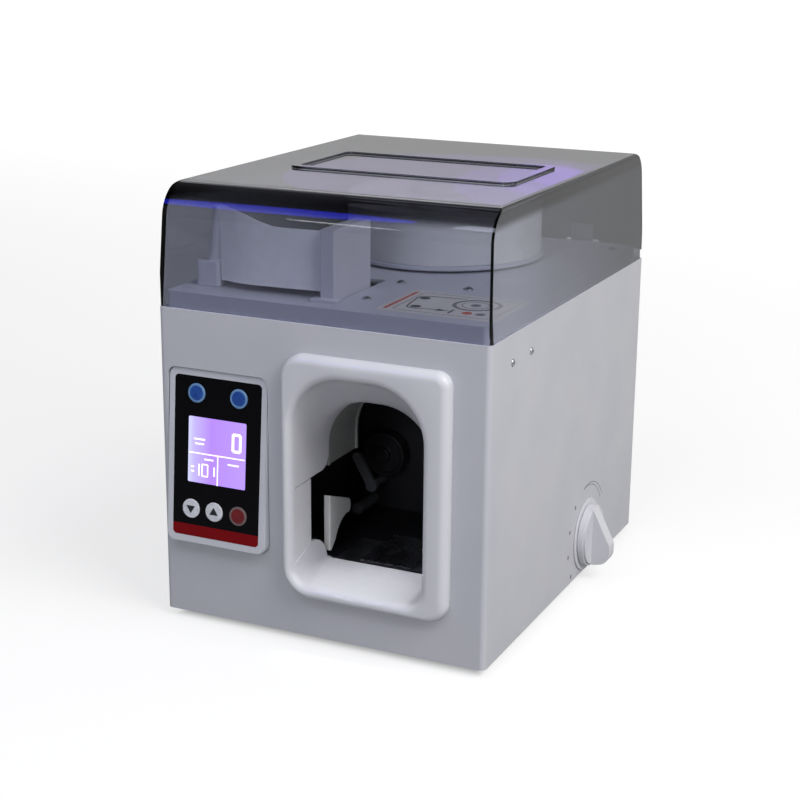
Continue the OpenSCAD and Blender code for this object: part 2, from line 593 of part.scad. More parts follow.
// ---------- feed under the deck ----------
feed_z = deck_z - 30;
feed_r = 10;
pinch_r = 7;
feed_cx = feed_x + feed_r + 0.2;
pinch_cx = feed_x - pinch_r - 0.2;
feed_y0 = track_y0 + 1;
feed_y1 = track_y1 - 1;
feed_shaft_r = 3;
frame_t = 2;
module frame_screw_places() for (x = [feed_cx + 9, pinch_cx - 8], y = [feed_y0 - 8, feed_y1 + 4])
    translate([x, y, deck_z]) children();
module feed_frame() color([0.62, 0.63, 0.65]) difference() {
    union() {
        for (y = [feed_y0 - 4, feed_y1 + 2]) box(pinch_cx - 12, feed_cx + 14, y, y + frame_t, feed_z - 11, deck_z - deck_wall);
        box(feed_x - 10, feed_x + 10, feed_y1 + 2, feed_y1 + 2 + frame_t, bay_z1, feed_z - 10);
        for (s = [-1, 1]) box(feed_x + s*3 - 0.6, feed_x + s*3 + 0.6, feed_y0 + 1, feed_y1 + 3, bay_z1, feed_z - feed_r - 1);
        box(feed_cx + 3, feed_cx + 14, feed_y0 - 12, feed_y0 - 2, deck_z - deck_wall - 2, deck_z - deck_wall);
        box(pinch_cx - 12, pinch_cx - 4, feed_y0 - 12, feed_y0 - 2, deck_z - deck_wall - 2, deck_z - deck_wall);
        box(feed_cx + 3, feed_cx + 14, feed_y1 + 2, feed_y1 + 10, deck_z - deck_wall - 2, deck_z - deck_wall);
        box(pinch_cx - 12, pinch_cx - 4, feed_y1 + 2, feed_y1 + 10, deck_z - deck_wall - 2, deck_z - deck_wall);
    }
    along_y(feed_shaft_r + fit, feed_y0 - 10, feed_y1 + 10, feed_cx, feed_z);
    along_y(feed_shaft_r + fit, feed_y0 - 10, feed_y1 + 10, pinch_cx, feed_z);
    frame_screw_places() cylinder(r = 1.7, h = 30, center = true);
}
module roller(x, r, y1) {
    along_y(r, feed_y0, feed_y1, x, feed_z);
    along_y(feed_shaft_r, feed_y0 - 6, y1, x, feed_z);
}
module feed_roller() color([0.14, 0.14, 0.15]) roller(feed_cx, feed_r, feed_y1 + 12);
module pinch_roller() color([0.75, 0.76, 0.78]) roller(pinch_cx, pinch_r, feed_y1 + 6);
feed_motor_r = 17;
module feed_motor() color([0.30, 0.31, 0.33]) difference() {
    y0 = feed_y1 + frame_t + 2;
    union() {
        along_y(feed_motor_r, y0 + 6, y0 + 44, feed_cx, feed_z - 6);
        along_y(6, y0, y0 + 6, feed_cx, feed_z);
    }
    along_y(feed_shaft_r + fit, y0 - 1, y0 + 12, feed_cx, feed_z);
}

// ---------- tape reel and guides on the deck ----------
turn_t = 3;
turn_z = deck_z + 1.5 + gap;
roll_z = turn_z + turn_t;
core_t = 2;
hub_r = core_r - core_t - 0.1;
module at_reel() translate([0, reel_y, 0]) children();
module turntable() color([0.70, 0.71, 0.74]) at_reel() {
    translate([0, 0, turn_z]) cylinder(r = turn_r, h = turn_t, $fn = 96);
    translate([0, 0, turn_z]) cylinder(r = hub_r, h = turn_t + tape_w + 4);
    translate([0, 0, deck_z - 14]) cylinder(r = spindle_r, h = 14 + 2);
    translate([0, 0, turn_z + turn_t + tape_w + 4]) cylinder(r1 = hub_r, r2 = hub_r - 4, h = 3);
}
module roll_core() color([0.62, 0.50, 0.36]) at_reel() translate([0, 0, roll_z]) tube(core_r, core_r - core_t, tape_w + 1);
module paper_roll() color([0.88, 0.88, 0.86]) at_reel() translate([0, 0, roll_z]) difference() {
    cylinder(r = roll_r, h = tape_w, $fn = 96);
    translate([0, 0, -1]) cylinder(r = core_r, h = tape_w + 2);
}
post_x = -deck_w/2 + 18;
post_y = front + 35;
post_h = 40;
disc_x = post_x + 44;
disc_y = front + 68;
disc_z = deck_z + 13;
disc_pin_r = 4;
disc_t = 2.5;
module guide_post() color([0.88, 0.88, 0.88]) translate([post_x, post_y, deck_z]) {
    linear_extrude(17) rounded(18, 16, 3);
    translate([2, 0, 17]) rotate([0, 8, 0]) translate([0, 0, -3]) cylinder(r = 5, h = post_h);
    translate([0, 0, -7]) cylinder(r = 1.8, h = 7 + 1);
}
module guide_disc() color([0.84, 0.85, 0.87]) translate([disc_x, disc_y, 0]) {
    translate([0, 0, disc_z]) cylinder(r = disc_r, h = disc_t, $fn = 96);
    translate([0, 0, disc_z + disc_t]) cylinder(r = 9, h = 4);
    translate([0, 0, deck_z + gap]) cylinder(r = 9, h = disc_z - deck_z - gap);
    translate([0, 0, deck_z - 8]) cylinder(r = disc_pin_r, h = 8 + 2);
}
// the tape runs from the post along the front of the disc to the slot
tape_t = 0.4;
tape_z0 = roll_z;
module tape_leg(a, b) translate([a[0], a[1], tape_z0]) rotate([0, 0, atan2(b[1] - a[1], b[0] - a[0])])
    translate([0, -tape_t/2, 0]) cube([norm([b[0] - a[0], b[1] - a[1]]), tape_t, tape_w]);
tape_pts = [[post_x + 10, post_y - 6], [post_x + 30, post_y - 9.5], [disc_x + 10, disc_y - disc_r - 2],
    [slot_x0 + 1.7, slot_y0 + 6]];
module tape_strip() color([0.90, 0.90, 0.90]) for (i = [0:len(tape_pts) - 2]) tape_leg(tape_pts[i], tape_pts[i + 1]);
guide_l = 55;
guide_top = tape_z0 + tape_w + 2;
module slot_guide() color([0.86, 0.87, 0.88]) difference() {
    union() {
        box(slot_x0 + 2, slot_x1 - 1, slot_y0 + 1, slot_y0 + guide_l, deck_z - deck_wall, guide_top);
        box(slot_x0 - 3, slot_x1 + 3, slot_y0 - 4, slot_y0 + 4, deck_z, deck_z + 2);
    }
    box(slot_x0 + 3.2, slot_x1 - 2.2, slot_y0 + 5, slot_y0 + guide_l + 5, deck_z - 7, guide_top - 2);
}
label_t = 0.3;
label_w = 80;
label_d = 62;
label_x = deck_w/2 - 2 - label_w/2;
label_y = deck_d0 + 13 + label_d/2;
module deck_label() color([0.80, 0.80, 0.78]) translate([label_x, label_y, deck_z]) linear_extrude(label_t)
    rounded(label_w, label_d, 2);

// ---------- electrics ----------
module standoffs(x0, x1, y0, y1, h) for (x = [x0, x1], y = [y0, y1]) translate([x, y, floor_z]) cylinder(r = 3, h = h);
board_x0 = -in_side + 8;
board_x1 = board_x0 + 74;
board_y1 = in_back - 23.5;
board_y0 = board_y1 - 98;
module control_board() color([0.08, 0.33, 0.20]) {
    box(board_x0, board_x1, board_y0, board_y1, floor_z + 8, floor_z + 9.6);
    standoffs(board_x0 + 5, board_x1 - 5, board_y0 + 5, board_y1 - 5, 8);
    box(board_x0 + 12, board_x0 + 32, board_y0 + 14, board_y0 + 34, floor_z + 9.6, floor_z + 11.4);
    for (i = [0:3]) translate([board_x1 - 10, board_y0 + 16 + i*16, floor_z + 9.6]) cylinder(r = 5, h = 16);
    box(board_x0 + 10, board_x0 + 16, board_y0 + 50, board_y0 + 84, floor_z + 9.6, floor_z + 18);
}
trafo_x = 20;
trafo_y = in_back - 51.5;
module transformer() color([0.35, 0.33, 0.30]) {
    box(trafo_x - 24, trafo_x + 24, trafo_y - 12, trafo_y + 12, floor_z + 4, floor_z + 44);
    box(trafo_x - 15, trafo_x + 15, trafo_y - 20, trafo_y + 20, floor_z + 12, floor_z + 36);
    box(trafo_x - 32, trafo_x + 32, trafo_y - 12, trafo_y + 12, floor_z, floor_z + 4);
}
module power_inlet() color([0.05, 0.05, 0.06]) difference() {
    union() {
        box(inlet_x - inlet_w/2 + 0.2, inlet_x + inlet_w/2 - 0.2, in_back - 20, in_back + 1.2,
            inlet_z - inlet_h/2 + 0.2, inlet_z + inlet_h/2 - 0.2);
        facing(in_back + 1.8, 1.8) translate([inlet_x, inlet_z]) rounded(inlet_w + 8, inlet_h + 8, 3);
    }
    facing(back, case_wall + 14) translate([inlet_x, inlet_z]) rounded(inlet_w - 5, inlet_h - 5, 2);
}
module rocker_switch() color([0.05, 0.05, 0.06]) {
    facing(in_back + 1.8, 1.8) translate([switch_x, inlet_z]) difference() {
        rounded(switch_w + 3, switch_h + 3, 1);
        square([switch_w - 3, switch_h - 3], center = true);
    }
    difference() {
        box(switch_x - switch_w/2 + 0.2, switch_x + switch_w/2 - 0.2, in_back - 16, in_back + 0.6,
            inlet_z - switch_h/2 + 0.2, inlet_z + switch_h/2 - 0.2);
        box(switch_x - switch_w/2 + 1.5, switch_x + switch_w/2 - 1.5, in_back - 8, in_back + 1,
            inlet_z - switch_h/2 + 1.5, inlet_z + switch_h/2 - 1.5);
        along_x(rocker_pin_r + fit, switch_x - 6, switch_x + 6, rocker_y, inlet_z);
    }
}
rocker_w = switch_w - 3.6;
rocker_h = switch_h - 5;
rocker_y = in_back - 2;
rocker_pin_r = 1.2;
// the rocker's two pads, dished where they meet, turn on a pin in the frame
module switch_rocker() color([0.10, 0.10, 0.11]) {
    translate([switch_x - rocker_w/2, rocker_y, inlet_z]) rotate([90, 0, 90]) linear_extrude(rocker_w)
        polygon([[-3, -rocker_h/2], [2.4, -rocker_h/2], [1.7, 0], [2.4, rocker_h/2], [-3, rocker_h/2]]);
    along_x(rocker_pin_r, switch_x - 5.8, switch_x + 5.8, rocker_y, inlet_z);
}

// ---------- dial ----------
dial_z = wall_b + dial_up;
side_x = case_w/2;
dial_bush_r = 4.5;
dial_pin_r = 3;
dial_plate_t = 1.2;
dial_skirt = 4;
module dial_plate() color([0.82, 0.82, 0.83]) translate([side_x, dial_back, dial_z]) rotate([0, 90, 0])
    tube(dial_r + 4, dial_bush_r + gap, dial_plate_t);
module potentiometer() color([0.45, 0.46, 0.48]) difference() {
    union() {
        along_x(12, in_side - 14, in_side, dial_back, dial_z);
        along_x(dial_bush_r, in_side - 1, side_x + dial_plate_t + 1, dial_back, dial_z);
    }
    along_x(dial_pin_r + fit, in_side - 8, side_x + 9, dial_back, dial_z);
}
grip_w = 11;
// side view of the grip: low at its upper end, highest below the middle, rounded at the lower end
function grip_side(h) = concat([[0, -dial_r], [0, dial_r], [dial_skirt + 1, dial_r*0.97]],
    arc([h - dial_r*0.35, -dial_r*0.3], dial_r*0.35, 40, 0, 4),
    arc([h - dial_r*0.4, -dial_r*0.5], dial_r*0.4, 0, -75, 6));
module dial_knob() color([0.88, 0.88, 0.87]) {
    x0 = side_x + dial_plate_t + 0.4;
    difference() {
        union() {
            along_x(dial_r, x0, x0 + dial_skirt, dial_back, dial_z);
            along_x(dial_r - 1.5, x0 + dial_skirt, x0 + dial_skirt + 1.5, dial_back, dial_z);
            intersection() {
                along_x(dial_r - 1, x0, side_x + dial_reach, dial_back, dial_z);
                translate([x0, dial_back + grip_w/2, dial_z]) rotate([90, 0, 0]) linear_extrude(grip_w)
                    polygon(grip_side(side_x + dial_reach - x0));
            }
        }
        along_x(dial_bush_r + 0.6, x0 - 1, x0 + 2.4, dial_back, dial_z);
    }
    along_x(dial_pin_r, side_x - 6, x0 + 3, dial_back, dial_z);
}

// ---------- cover and hinge ----------
cover_side_r = 4;
hinge_r = 1.5;
hinge_xs = [-70, 70];
hinge_w = 26;
cover_z0 = wall_t + gap;
draft_front = 6;      // how far the cover's front and back lean in at the top
draft_side = 2.8;
// profile of a drafted cover between a and b, its wall moved in by g: draft d, front and back bends ra and rb
function cover_profile(a, b, d, ra, rb, g) = let (
    lean = atan(d/(cover_z - cover_z0)),
    drop = g > 0 ? 5 : 0,
    ca = [a + (ra + (cover_z - ra - cover_z0)*sin(lean))/cos(lean), cover_z - ra],
    cb = [b - (rb + (cover_z - rb - cover_z0)*sin(lean))/cos(lean), cover_z - rb])
    concat([[a + g/cos(lean) - drop*tan(lean), cover_z0 - drop]],
        arc(ca, ra - g, 180 - lean, 90, 12), arc(cb, rb - g, 90, lean, 12),
        [[b - g/cos(lean) + drop*tan(lean), cover_z0 - drop]]);
module cover_block(g) intersection() {
    rotate([90, 0, 90]) translate([0, 0, -case_w]) linear_extrude(2*case_w)
        polygon(cover_profile(front + gap, back - gap, draft_front, cover_front_r, cover_back_r, g));
    rotate([90, 0, 0]) translate([0, 0, -case_d]) linear_extrude(2*case_d)
        polygon(cover_profile(gap - case_w/2, case_w/2 - gap, draft_side, cover_side_r, cover_side_r, g));
}
// a raised border moulded round the middle of the cover's top
border_x0 = -78;
border_x1 = 90;
border_y0 = -50;
border_y1 = 38;
border_w = 6;
border_h = 1.6;
module border_ring() translate([(border_x0 + border_x1)/2, (border_y0 + border_y1)/2, cover_z - 1])
    linear_extrude(border_h + 1) difference() {
        rounded(border_x1 - border_x0, border_y1 - border_y0, 8);
        rounded(border_x1 - border_x0 - 2*border_w, border_y1 - border_y0 - 2*border_w, 4);
    }
notch_h = 4;          // cover's back wall above the hinge's axis, where the brackets stand
module smoked_cover() color([0.25, 0.26, 0.30, 0.45]) {
    difference() {
        intersection() {
            cover_block(0);
            translate([0, 0, wall_t]) linear_extrude(cover_h) rounded(case_w - 2*gap, case_d - 2*gap, corner_r);
        }
        cover_block(cover_t);
        box(-case_w, case_w, hinge_y, case_d, 0, hinge_z);
        for (x = hinge_xs) box(x - hinge_w/2 - 0.6, x + hinge_w/2 + 0.6, hinge_y, case_d, 0, hinge_z + notch_h);
    }
    border_ring();
}
// a leaf glued inside the cover's back wall carries the pin; the bracket on the cabinet's rim holds its ends
module hinge_brackets() color([0.5, 0.51, 0.53]) for (x = hinge_xs) difference() {
    for (x0 = [x - hinge_w/2, x + hinge_w/2 - 4]) {
        box(x0, x0 + 4, hinge_y - 3, hinge_y + 3, wall_t, hinge_z);
        along_x(3, x0, x0 + 4, hinge_y, hinge_z);
    }
    along_x(hinge_r + fit, x - hinge_w, x + hinge_w, hinge_y, hinge_z);
}
cover_lean = atan(draft_front/(cover_z - cover_z0));
leaf_t = 1.5;
leaf_h = 16;
leaf_w = hinge_w - 8 - 2*gap;
// inside of the cover's back wall at height z
function cover_in_y(z) = back - gap - fit - cover_t/cos(cover_lean) - (z - cover_z0)*tan(cover_lean);
module hinge_pin() color("silver") for (x = hinge_xs) {
    along_x(hinge_r, x - hinge_w/2 - 2, x + hinge_w/2 + 2, hinge_y, hinge_z);
    along_x(3, x - leaf_w/2, x + leaf_w/2, hinge_y, hinge_z);
    box(x - leaf_w/2, x + leaf_w/2, hinge_y, cover_in_y(hinge_z + 3), hinge_z - 1.5, hinge_z + 3);
    translate([x - leaf_w/2, cover_in_y(hinge_z), hinge_z]) rotate([cover_lean, 0, 0])
        translate([0, -leaf_t, 0]) cube([leaf_w, leaf_t, leaf_h]);
}

// ---------- drawing ----------
place() base_pan();
place() rubber_feet();
place() foot_screws();
place() cabinet_shell();
place() rear_panel();
place() rear_screws();
place() side_screws();
place() deck_plate();
place() deck_screws();
place() control_bezel();
place() keypad_panel();
place() accent_strip();
place() display_window();
place() display_board();
place() blue_key_left();
place() blue_key_right();
place() down_key();
place() up_key();
place() red_key();
place() mouth_bezel();
place() arch_track();
place() guide_horn();
place() bay_housing();
place() tape_drum();
place() bay_lever();
place() lower_roller();
place() head_block();
place() cam_shaft();
place() drive_pinion();
place() cam_motor();
place() front_clamp();
place() middle_clamp();
place() rear_clamp();
place() cutter_blade();
place() heater_blade();
place() anvil_plate();
place() feed_frame();
place() feed_roller();
place() pinch_roller();
place() feed_motor();
place() turntable();
place() roll_core();
place() paper_roll();
place() tape_strip();
place() guide_post();
place() guide_disc();
place() slot_guide();
place() deck_label();
place() control_board();
place() transformer();
place() power_inlet();
place() rocker_switch();
place() switch_rocker();
place() potentiometer();
place() dial_knob();
place() dial_plate();
place() smoked_cover();
place() hinge_brackets();
place() hinge_pin();
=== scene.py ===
"""Looks for a banknote strapping machine, laid out as an add-on and run as a script.

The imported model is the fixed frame. Each operator dresses one group of pieces, in metres and in the frame's
own coordinates: +X to the dial's side, +Y to the back, +Z up.
"""
import json
import math

import bmesh
import bpy
from mathutils import Matrix, Vector


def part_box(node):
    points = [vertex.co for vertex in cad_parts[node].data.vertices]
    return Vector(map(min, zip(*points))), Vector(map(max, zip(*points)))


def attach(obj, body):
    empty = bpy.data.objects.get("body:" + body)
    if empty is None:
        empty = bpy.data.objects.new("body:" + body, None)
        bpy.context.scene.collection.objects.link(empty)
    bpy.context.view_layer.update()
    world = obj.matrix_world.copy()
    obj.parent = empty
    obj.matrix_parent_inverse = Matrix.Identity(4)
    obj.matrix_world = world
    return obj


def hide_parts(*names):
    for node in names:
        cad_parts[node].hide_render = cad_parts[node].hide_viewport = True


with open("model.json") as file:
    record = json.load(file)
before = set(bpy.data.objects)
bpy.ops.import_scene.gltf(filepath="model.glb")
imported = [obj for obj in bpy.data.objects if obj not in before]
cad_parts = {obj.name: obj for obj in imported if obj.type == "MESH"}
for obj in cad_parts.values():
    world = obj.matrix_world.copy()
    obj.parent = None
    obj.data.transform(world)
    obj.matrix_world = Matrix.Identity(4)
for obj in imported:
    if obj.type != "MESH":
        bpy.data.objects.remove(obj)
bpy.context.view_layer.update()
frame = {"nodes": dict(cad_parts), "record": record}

bl_info = {
    "name": "Banknote strapping machine",
    "version": (1, 0, 0),
    "blender": (4, 5, 0),
    "location": "View3D > Sidebar > Strapping",
    "description": "Dresses the packed model of a banknote strapping machine",
    "category": "Object",
}

MM = 0.001
BODY_OF = {n: b for b, names in frame["record"]["behaviour"]["bodies"].items() for n in names}

# ---------- small helpers ----------


def linear(colour):
    """A hex sRGB colour as linear RGBA."""
    channels = [int(colour[i:i + 2], 16) / 255 for i in (1, 3, 5)]
    return tuple(c / 12.92 if c <= 0.04045 else ((c + 0.055) / 1.055) ** 2.4 for c in channels) + (1.0,)


def add(tree, kind, inputs=None, **settings):
    """A node of that kind with its settings; inputs maps a socket's name or number to a value or output."""
    node = tree.nodes.new(kind)
    for name, value in settings.items():
        setattr(node, name, value)
    for key, value in (inputs or {}).items():
        if isinstance(value, bpy.types.NodeSocket):
            tree.links.new(value, node.inputs[key])
        else:
            node.inputs[key].default_value = value
    return node


def surface(name, colour, roughness, **more):
    """A new material with a Principled shader, and its tree: (material, tree, shader)."""
    material = bpy.data.materials.new(name)
    material.use_nodes = True
    tree = material.node_tree
    tree.nodes.clear()
    shader = add(tree, "ShaderNodeBsdfPrincipled", {"Base Color": linear(colour), "Roughness": roughness,
                                                    **more})
    add(tree, "ShaderNodeOutputMaterial", {"Surface": shader.outputs[0]})
    return material, tree, shader


def grain(tree, shader, size_mm, height_mm, strength, stretch=(1, 1, 1)):
    """Fine relief of that grain size on a surface."""
    place = add(tree, "ShaderNodeTexCoord")
    turn = add(tree, "ShaderNodeMapping", {"Vector": place.outputs["Object"], "Scale": stretch})
    noise = add(tree, "ShaderNodeTexNoise", {"Vector": turn.outputs[0], "Scale": 1 / (size_mm * MM),
                                             "Detail": 2.0})
    bump = add(tree, "ShaderNodeBump", {"Height": noise.outputs[0], "Strength": strength,
                                        "Distance": height_mm * MM})
    tree.links.new(bump.outputs[0], shader.inputs["Normal"])


def vary(tree, shader, size_mm, low, high):
    """A slow change of roughness between low and high, such as handling leaves."""
    place = add(tree, "ShaderNodeTexCoord")
    noise = add(tree, "ShaderNodeTexNoise", {"Vector": place.outputs["Object"], "Scale": 1 / (size_mm * MM),
                                             "Detail": 3.0})
    span = add(tree, "ShaderNodeMapRange", {"Value": noise.outputs[0], 1: 0.3, 2: 0.7, 3: low, 4: high})
    tree.links.new(span.outputs[0], shader.inputs["Roughness"])


def tint(tree, shader, size_mm, colour_a, colour_b, low=0.35, high=0.65):
    """Soft patches of two near colours."""
    place = add(tree, "ShaderNodeTexCoord")
    noise = add(tree, "ShaderNodeTexNoise", {"Vector": place.outputs["Object"], "Scale": 1 / (size_mm * MM),
                                             "Detail": 4.0})
    span = add(tree, "ShaderNodeMapRange", {"Value": noise.outputs[0], 1: low, 2: high})
    mix = add(tree, "ShaderNodeMix", {0: span.outputs[0], 6: linear(colour_a), 7: linear(colour_b)},
              data_type="RGBA")
    tree.links.new(mix.outputs[2], shader.inputs["Base Color"])


def seen_by(tree, *kinds):
    """1 for rays of those kinds, such as Camera or Transmission, else 0."""
    path = add(tree, "ShaderNodeLightPath")
    total = path.outputs[f"Is {kinds[0]} Ray"]
    for kind in kinds[1:]:
        total = add(tree, "ShaderNodeMath", {0: total, 1: path.outputs[f"Is {kind} Ray"]},
                    operation="MAXIMUM").outputs[0]
    return total


# ---------- materials, each named for the real finish ----------

DISPLAY_GLOW = 0.92


def powder_coat():
    """Epoxy powder coat on sheet steel: satin, with a fine orange peel."""
    material, tree, shader = surface("powder_coat_pale_grey", "#BDBEC3", 0.42)
    grain(tree, shader, 1.6, 0.02, 0.35)
    tint(tree, shader, 60, "#BBBCC2", "#C0C0C5")
    vary(tree, shader, 40, 0.36, 0.48)
    return material


def moulded_abs_white():
    """Injection moulded white ABS: smoother and whiter than the powder coat, with a faint tool texture."""
    material, tree, shader = surface("moulded_abs_white", "#D0D0D4", 0.33)
    grain(tree, shader, 0.9, 0.012, 0.25)
    tint(tree, shader, 50, "#D1D1D5", "#CCCCD1")
    vary(tree, shader, 30, 0.28, 0.40)
    return material


def moulded_abs_grey():
    """The same moulding in the pale blue grey of the panel's frame and the deck."""
    material, tree, shader = surface("moulded_abs_grey", "#C5C6CC", 0.40)
    grain(tree, shader, 0.8, 0.015, 0.3)
    tint(tree, shader, 45, "#C3C4CB", "#C8C9CF")
    vary(tree, shader, 30, 0.34, 0.46)
    return material


def glossy_overlay(name, colour):
    """Polyester overlay printed from behind: a soft, faintly scratched sheen that stays dark."""
    material, tree, shader = surface(name, colour, 0.2, **{"Specular IOR Level": 0.12})
    vary(tree, shader, 12, 0.15, 0.3)
    grain(tree, shader, 3.0, 0.004, 0.2)
    return material


def key_gloss(name, colour, worn):
    """Silicone key with a lacquered cap, in two near tones."""
    material, tree, shader = surface(name, colour, 0.3)
    tint(tree, shader, 4, colour, worn)
    grain(tree, shader, 0.4, 0.01, 0.2)
    return material


def lit_display():
    """Backlit liquid crystal: violet light, paler to the left where the lamp is."""
    material, tree, shader = surface("lit_display_violet", "#5A3C90", 0.25)
    low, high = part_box("display_window")
    place = add(tree, "ShaderNodeTexCoord")
    across = add(tree, "ShaderNodeSeparateXYZ", {0: place.outputs["Object"]})
    share = add(tree, "ShaderNodeMapRange", {"Value": across.outputs[0], 1: low.x, 2: high.x})
    ramp = add(tree, "ShaderNodeValToRGB", {0: share.outputs[0]})
    ramp.color_ramp.elements[0].color = linear("#DDE6FF")
    ramp.color_ramp.elements[1].color = linear("#BFA0FF")
    for place_in_ramp, colour in ((0.1, "#C9C0FF"), (0.4, "#B98EFF")):
        ramp.color_ramp.elements.new(place_in_ramp).color = linear(colour)
    tree.links.new(ramp.outputs[0], shader.inputs["Emission Color"])
    shader.inputs["Emission Strength"].default_value = DISPLAY_GLOW
    return material


def lit_segment():
    """A clear segment of the display, where the backlight shows almost white with a little violet."""
    material, tree, shader = surface("lit_segment_white", "#FFFFFF", 0.4)
    shader.inputs["Emission Color"].default_value = linear("#F2E4FC")
    shader.inputs["Emission Strength"].default_value = DISPLAY_GLOW
    grain(tree, shader, 1.0, 0.002, 0.1)
    return material


def smoked_acrylic():
    """Thermoformed smoked acrylic: clear glossy sheet that lets the lamps through. Its colour is painted
    darker towards the back as painted shade, and painted nearly black, a painted reflection, where it is bent
    and seen edgeways."""
    low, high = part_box("smoked_cover")
    material, tree, shader = surface("smoked_acrylic", "#9395A0", 0.02,
                                     **{"Transmission Weight": 1.0, "IOR": 1.49})
    place = add(tree, "ShaderNodeTexCoord")
    split = add(tree, "ShaderNodeSeparateXYZ", {0: place.outputs["Object"]})
    even = 40 * MM  # the tone is even over this length at the front and at the back
    # painted shade: between these lengths the sheet's colour darkens from the front's tone to a deeper one at
    # the back
    back = add(tree, "ShaderNodeMapRange", {"Value": split.outputs[1], 1: low.y + even, 2: high.y - even})
    tone = add(tree, "ShaderNodeMix", {0: back.outputs[0], 6: linear("#9EA0A9"), 7: linear("#54565C")},
               data_type="RGBA")
    # painted reflection: the dark band of the bend fades in from below and out at the flat top, by depths
    # under the top
    foot, full, fading, flat = (high.z - depth * MM for depth in (17, 10, 5, 2.2))
    under = add(tree, "ShaderNodeMapRange", {"Value": split.outputs[2], 1: foot, 2: full},
                interpolation_type="SMOOTHSTEP")
    over = add(tree, "ShaderNodeMapRange", {"Value": split.outputs[2], 1: fading, 2: flat, 3: 0.88, 4: 0.0},
               interpolation_type="SMOOTHSTEP")
    bend = add(tree, "ShaderNodeMath", {0: under.outputs[0], 1: over.outputs[0]}, operation="MULTIPLY")
    mix = add(tree, "ShaderNodeMix", {0: bend.outputs[0], 6: tone.outputs[2], 7: linear("#0C0C10")},
              data_type="RGBA")
    tree.links.new(mix.outputs[2], shader.inputs["Base Color"])
    film = add(tree, "ShaderNodeBsdfTransparent", {"Color": linear("#F8F8FC")})
    choice = add(tree, "ShaderNodeMixShader", {0: seen_by(tree, "Shadow"), 1: shader.outputs[0],
                                               2: film.outputs[0]})
    output = next(n for n in tree.nodes if n.type == "OUTPUT_MATERIAL")
    tree.links.new(choice.outputs[0], output.inputs["Surface"])
    return material


def matt_black_abs():
    """Black ABS inside the mouth, where little light falls."""
    material, tree, shader = surface("matt_black_abs", "#17171A", 0.5)
    grain(tree, shader, 0.7, 0.03, 0.4)
    tint(tree, shader, 30, "#151518", "#1E1E22")
    return material


def satin(name, colour, roughness):
    """Moulded glass-filled nylon in a grey: satin, with a fine grain."""
    material, tree, shader = surface(name, colour, roughness)
    grain(tree, shader, 0.6, 0.015, 0.4)
    vary(tree, shader, 12, roughness * 0.85, roughness * 1.2)
    return material


def natural_nylon():
    """Natural nylon of the pointed finger, milky and satin; its stub is painted black,
    painted shade where it sits back in the dark bay.
    """
    material, tree, shader = surface("natural_nylon", "#E6E6E2", 0.4)
    finger, edge = 5.3 * MM, 0.2 * MM
    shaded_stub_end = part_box("guide_horn")[1].x - finger
    place = add(tree, "ShaderNodeTexCoord")
    split = add(tree, "ShaderNodeSeparateXYZ", {0: place.outputs["Object"]})
    share = add(tree, "ShaderNodeMapRange", {"Value": split.outputs[0], 1: shaded_stub_end, 2: shaded_stub_end + edge})
    # painted shade: the stub takes the bay's black, with a short edge to the milky finger
    mix = add(tree, "ShaderNodeMix", {0: share.outputs[0], 6: linear("#17171A"), 7: linear("#E6E6E2")},
              data_type="RGBA")
    tree.links.new(mix.outputs[2], shader.inputs["Base Color"])
    grain(tree, shader, 0.6, 0.015, 0.4)
    return material


def turned_black():
    """Dark turned nylon of the drum: satin rings."""
    material, tree, shader = surface("turned_black_nylon", "#1B1B1D", 0.35)
    grain(tree, shader, 0.5, 0.02, 0.5, stretch=(1, 8, 1))
    vary(tree, shader, 8, 0.28, 0.45)
    return material


def metal(name, colour, roughness, stretch=(1, 1, 12), size_mm=1.2):
    """Bare metal with the fine lines of rolling or grinding along one way."""
    material, tree, shader = surface(name, colour, roughness, Metallic=1.0)
    grain(tree, shader, size_mm, 0.002, 0.3, stretch=stretch)
    vary(tree, shader, 10, roughness * 0.8, roughness * 1.25)
    return material


def strapping_paper():
    """Kraft strapping paper, bleached: matt, with a soft fibre grain along its length."""
    material, tree, shader = surface("strapping_paper_white", "#EFEFEC", 0.75,
                                     **{"Sheen Weight": 0.15, "Sheen Roughness": 0.6})
    grain(tree, shader, 0.5, 0.03, 0.4, stretch=(1, 1, 4))
    tint(tree, shader, 6, "#EDEDEA", "#F4F4F2")
    return material


def wound_paper():
    """The side of the roll: edges of the turns, one every 0.1 mm, drawn 2.18 mm apart so that they show."""
    material, tree, shader = surface("wound_paper_edges", "#E9E9E5", 0.8)
    apart = 2.18 * MM
    # what lies between two rings of a wave texture whose scale is 1, in metres
    apart_at_scale_1 = math.tau / 20
    low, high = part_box("paper_roll")
    place = add(tree, "ShaderNodeTexCoord")
    centre = add(tree, "ShaderNodeMapping", {"Vector": place.outputs["Object"],
                                             "Location": (-(low.x + high.x) / 2, -(low.y + high.y) / 2, 0)})
    rings = add(tree, "ShaderNodeTexWave", {"Vector": centre.outputs[0], "Scale": apart_at_scale_1 / apart,
                                            "Distortion": 0.4, "Detail": 1.0},
                wave_type="RINGS", rings_direction="Z")
    mix = add(tree, "ShaderNodeMix", {0: rings.outputs[1], 6: linear("#DCDCD7"), 7: linear("#F1F1EE")},
              data_type="RGBA")
    tree.links.new(mix.outputs[2], shader.inputs["Base Color"])
    bump = add(tree, "ShaderNodeBump", {"Height": rings.outputs[1], "Strength": 0.4, "Distance": 0.05 * MM})
    tree.links.new(bump.outputs[0], shader.inputs["Normal"])
    return material


def core_board():
    """Brown board of the roll's core: matt, with fibres along its turns."""
    material, tree, shader = surface("core_board", "#A58E6E", 0.85)
    grain(tree, shader, 1.0, 0.05, 0.5, stretch=(1, 1, 5))
    tint(tree, shader, 5, "#A08A6A", "#B39B7B")
    return material


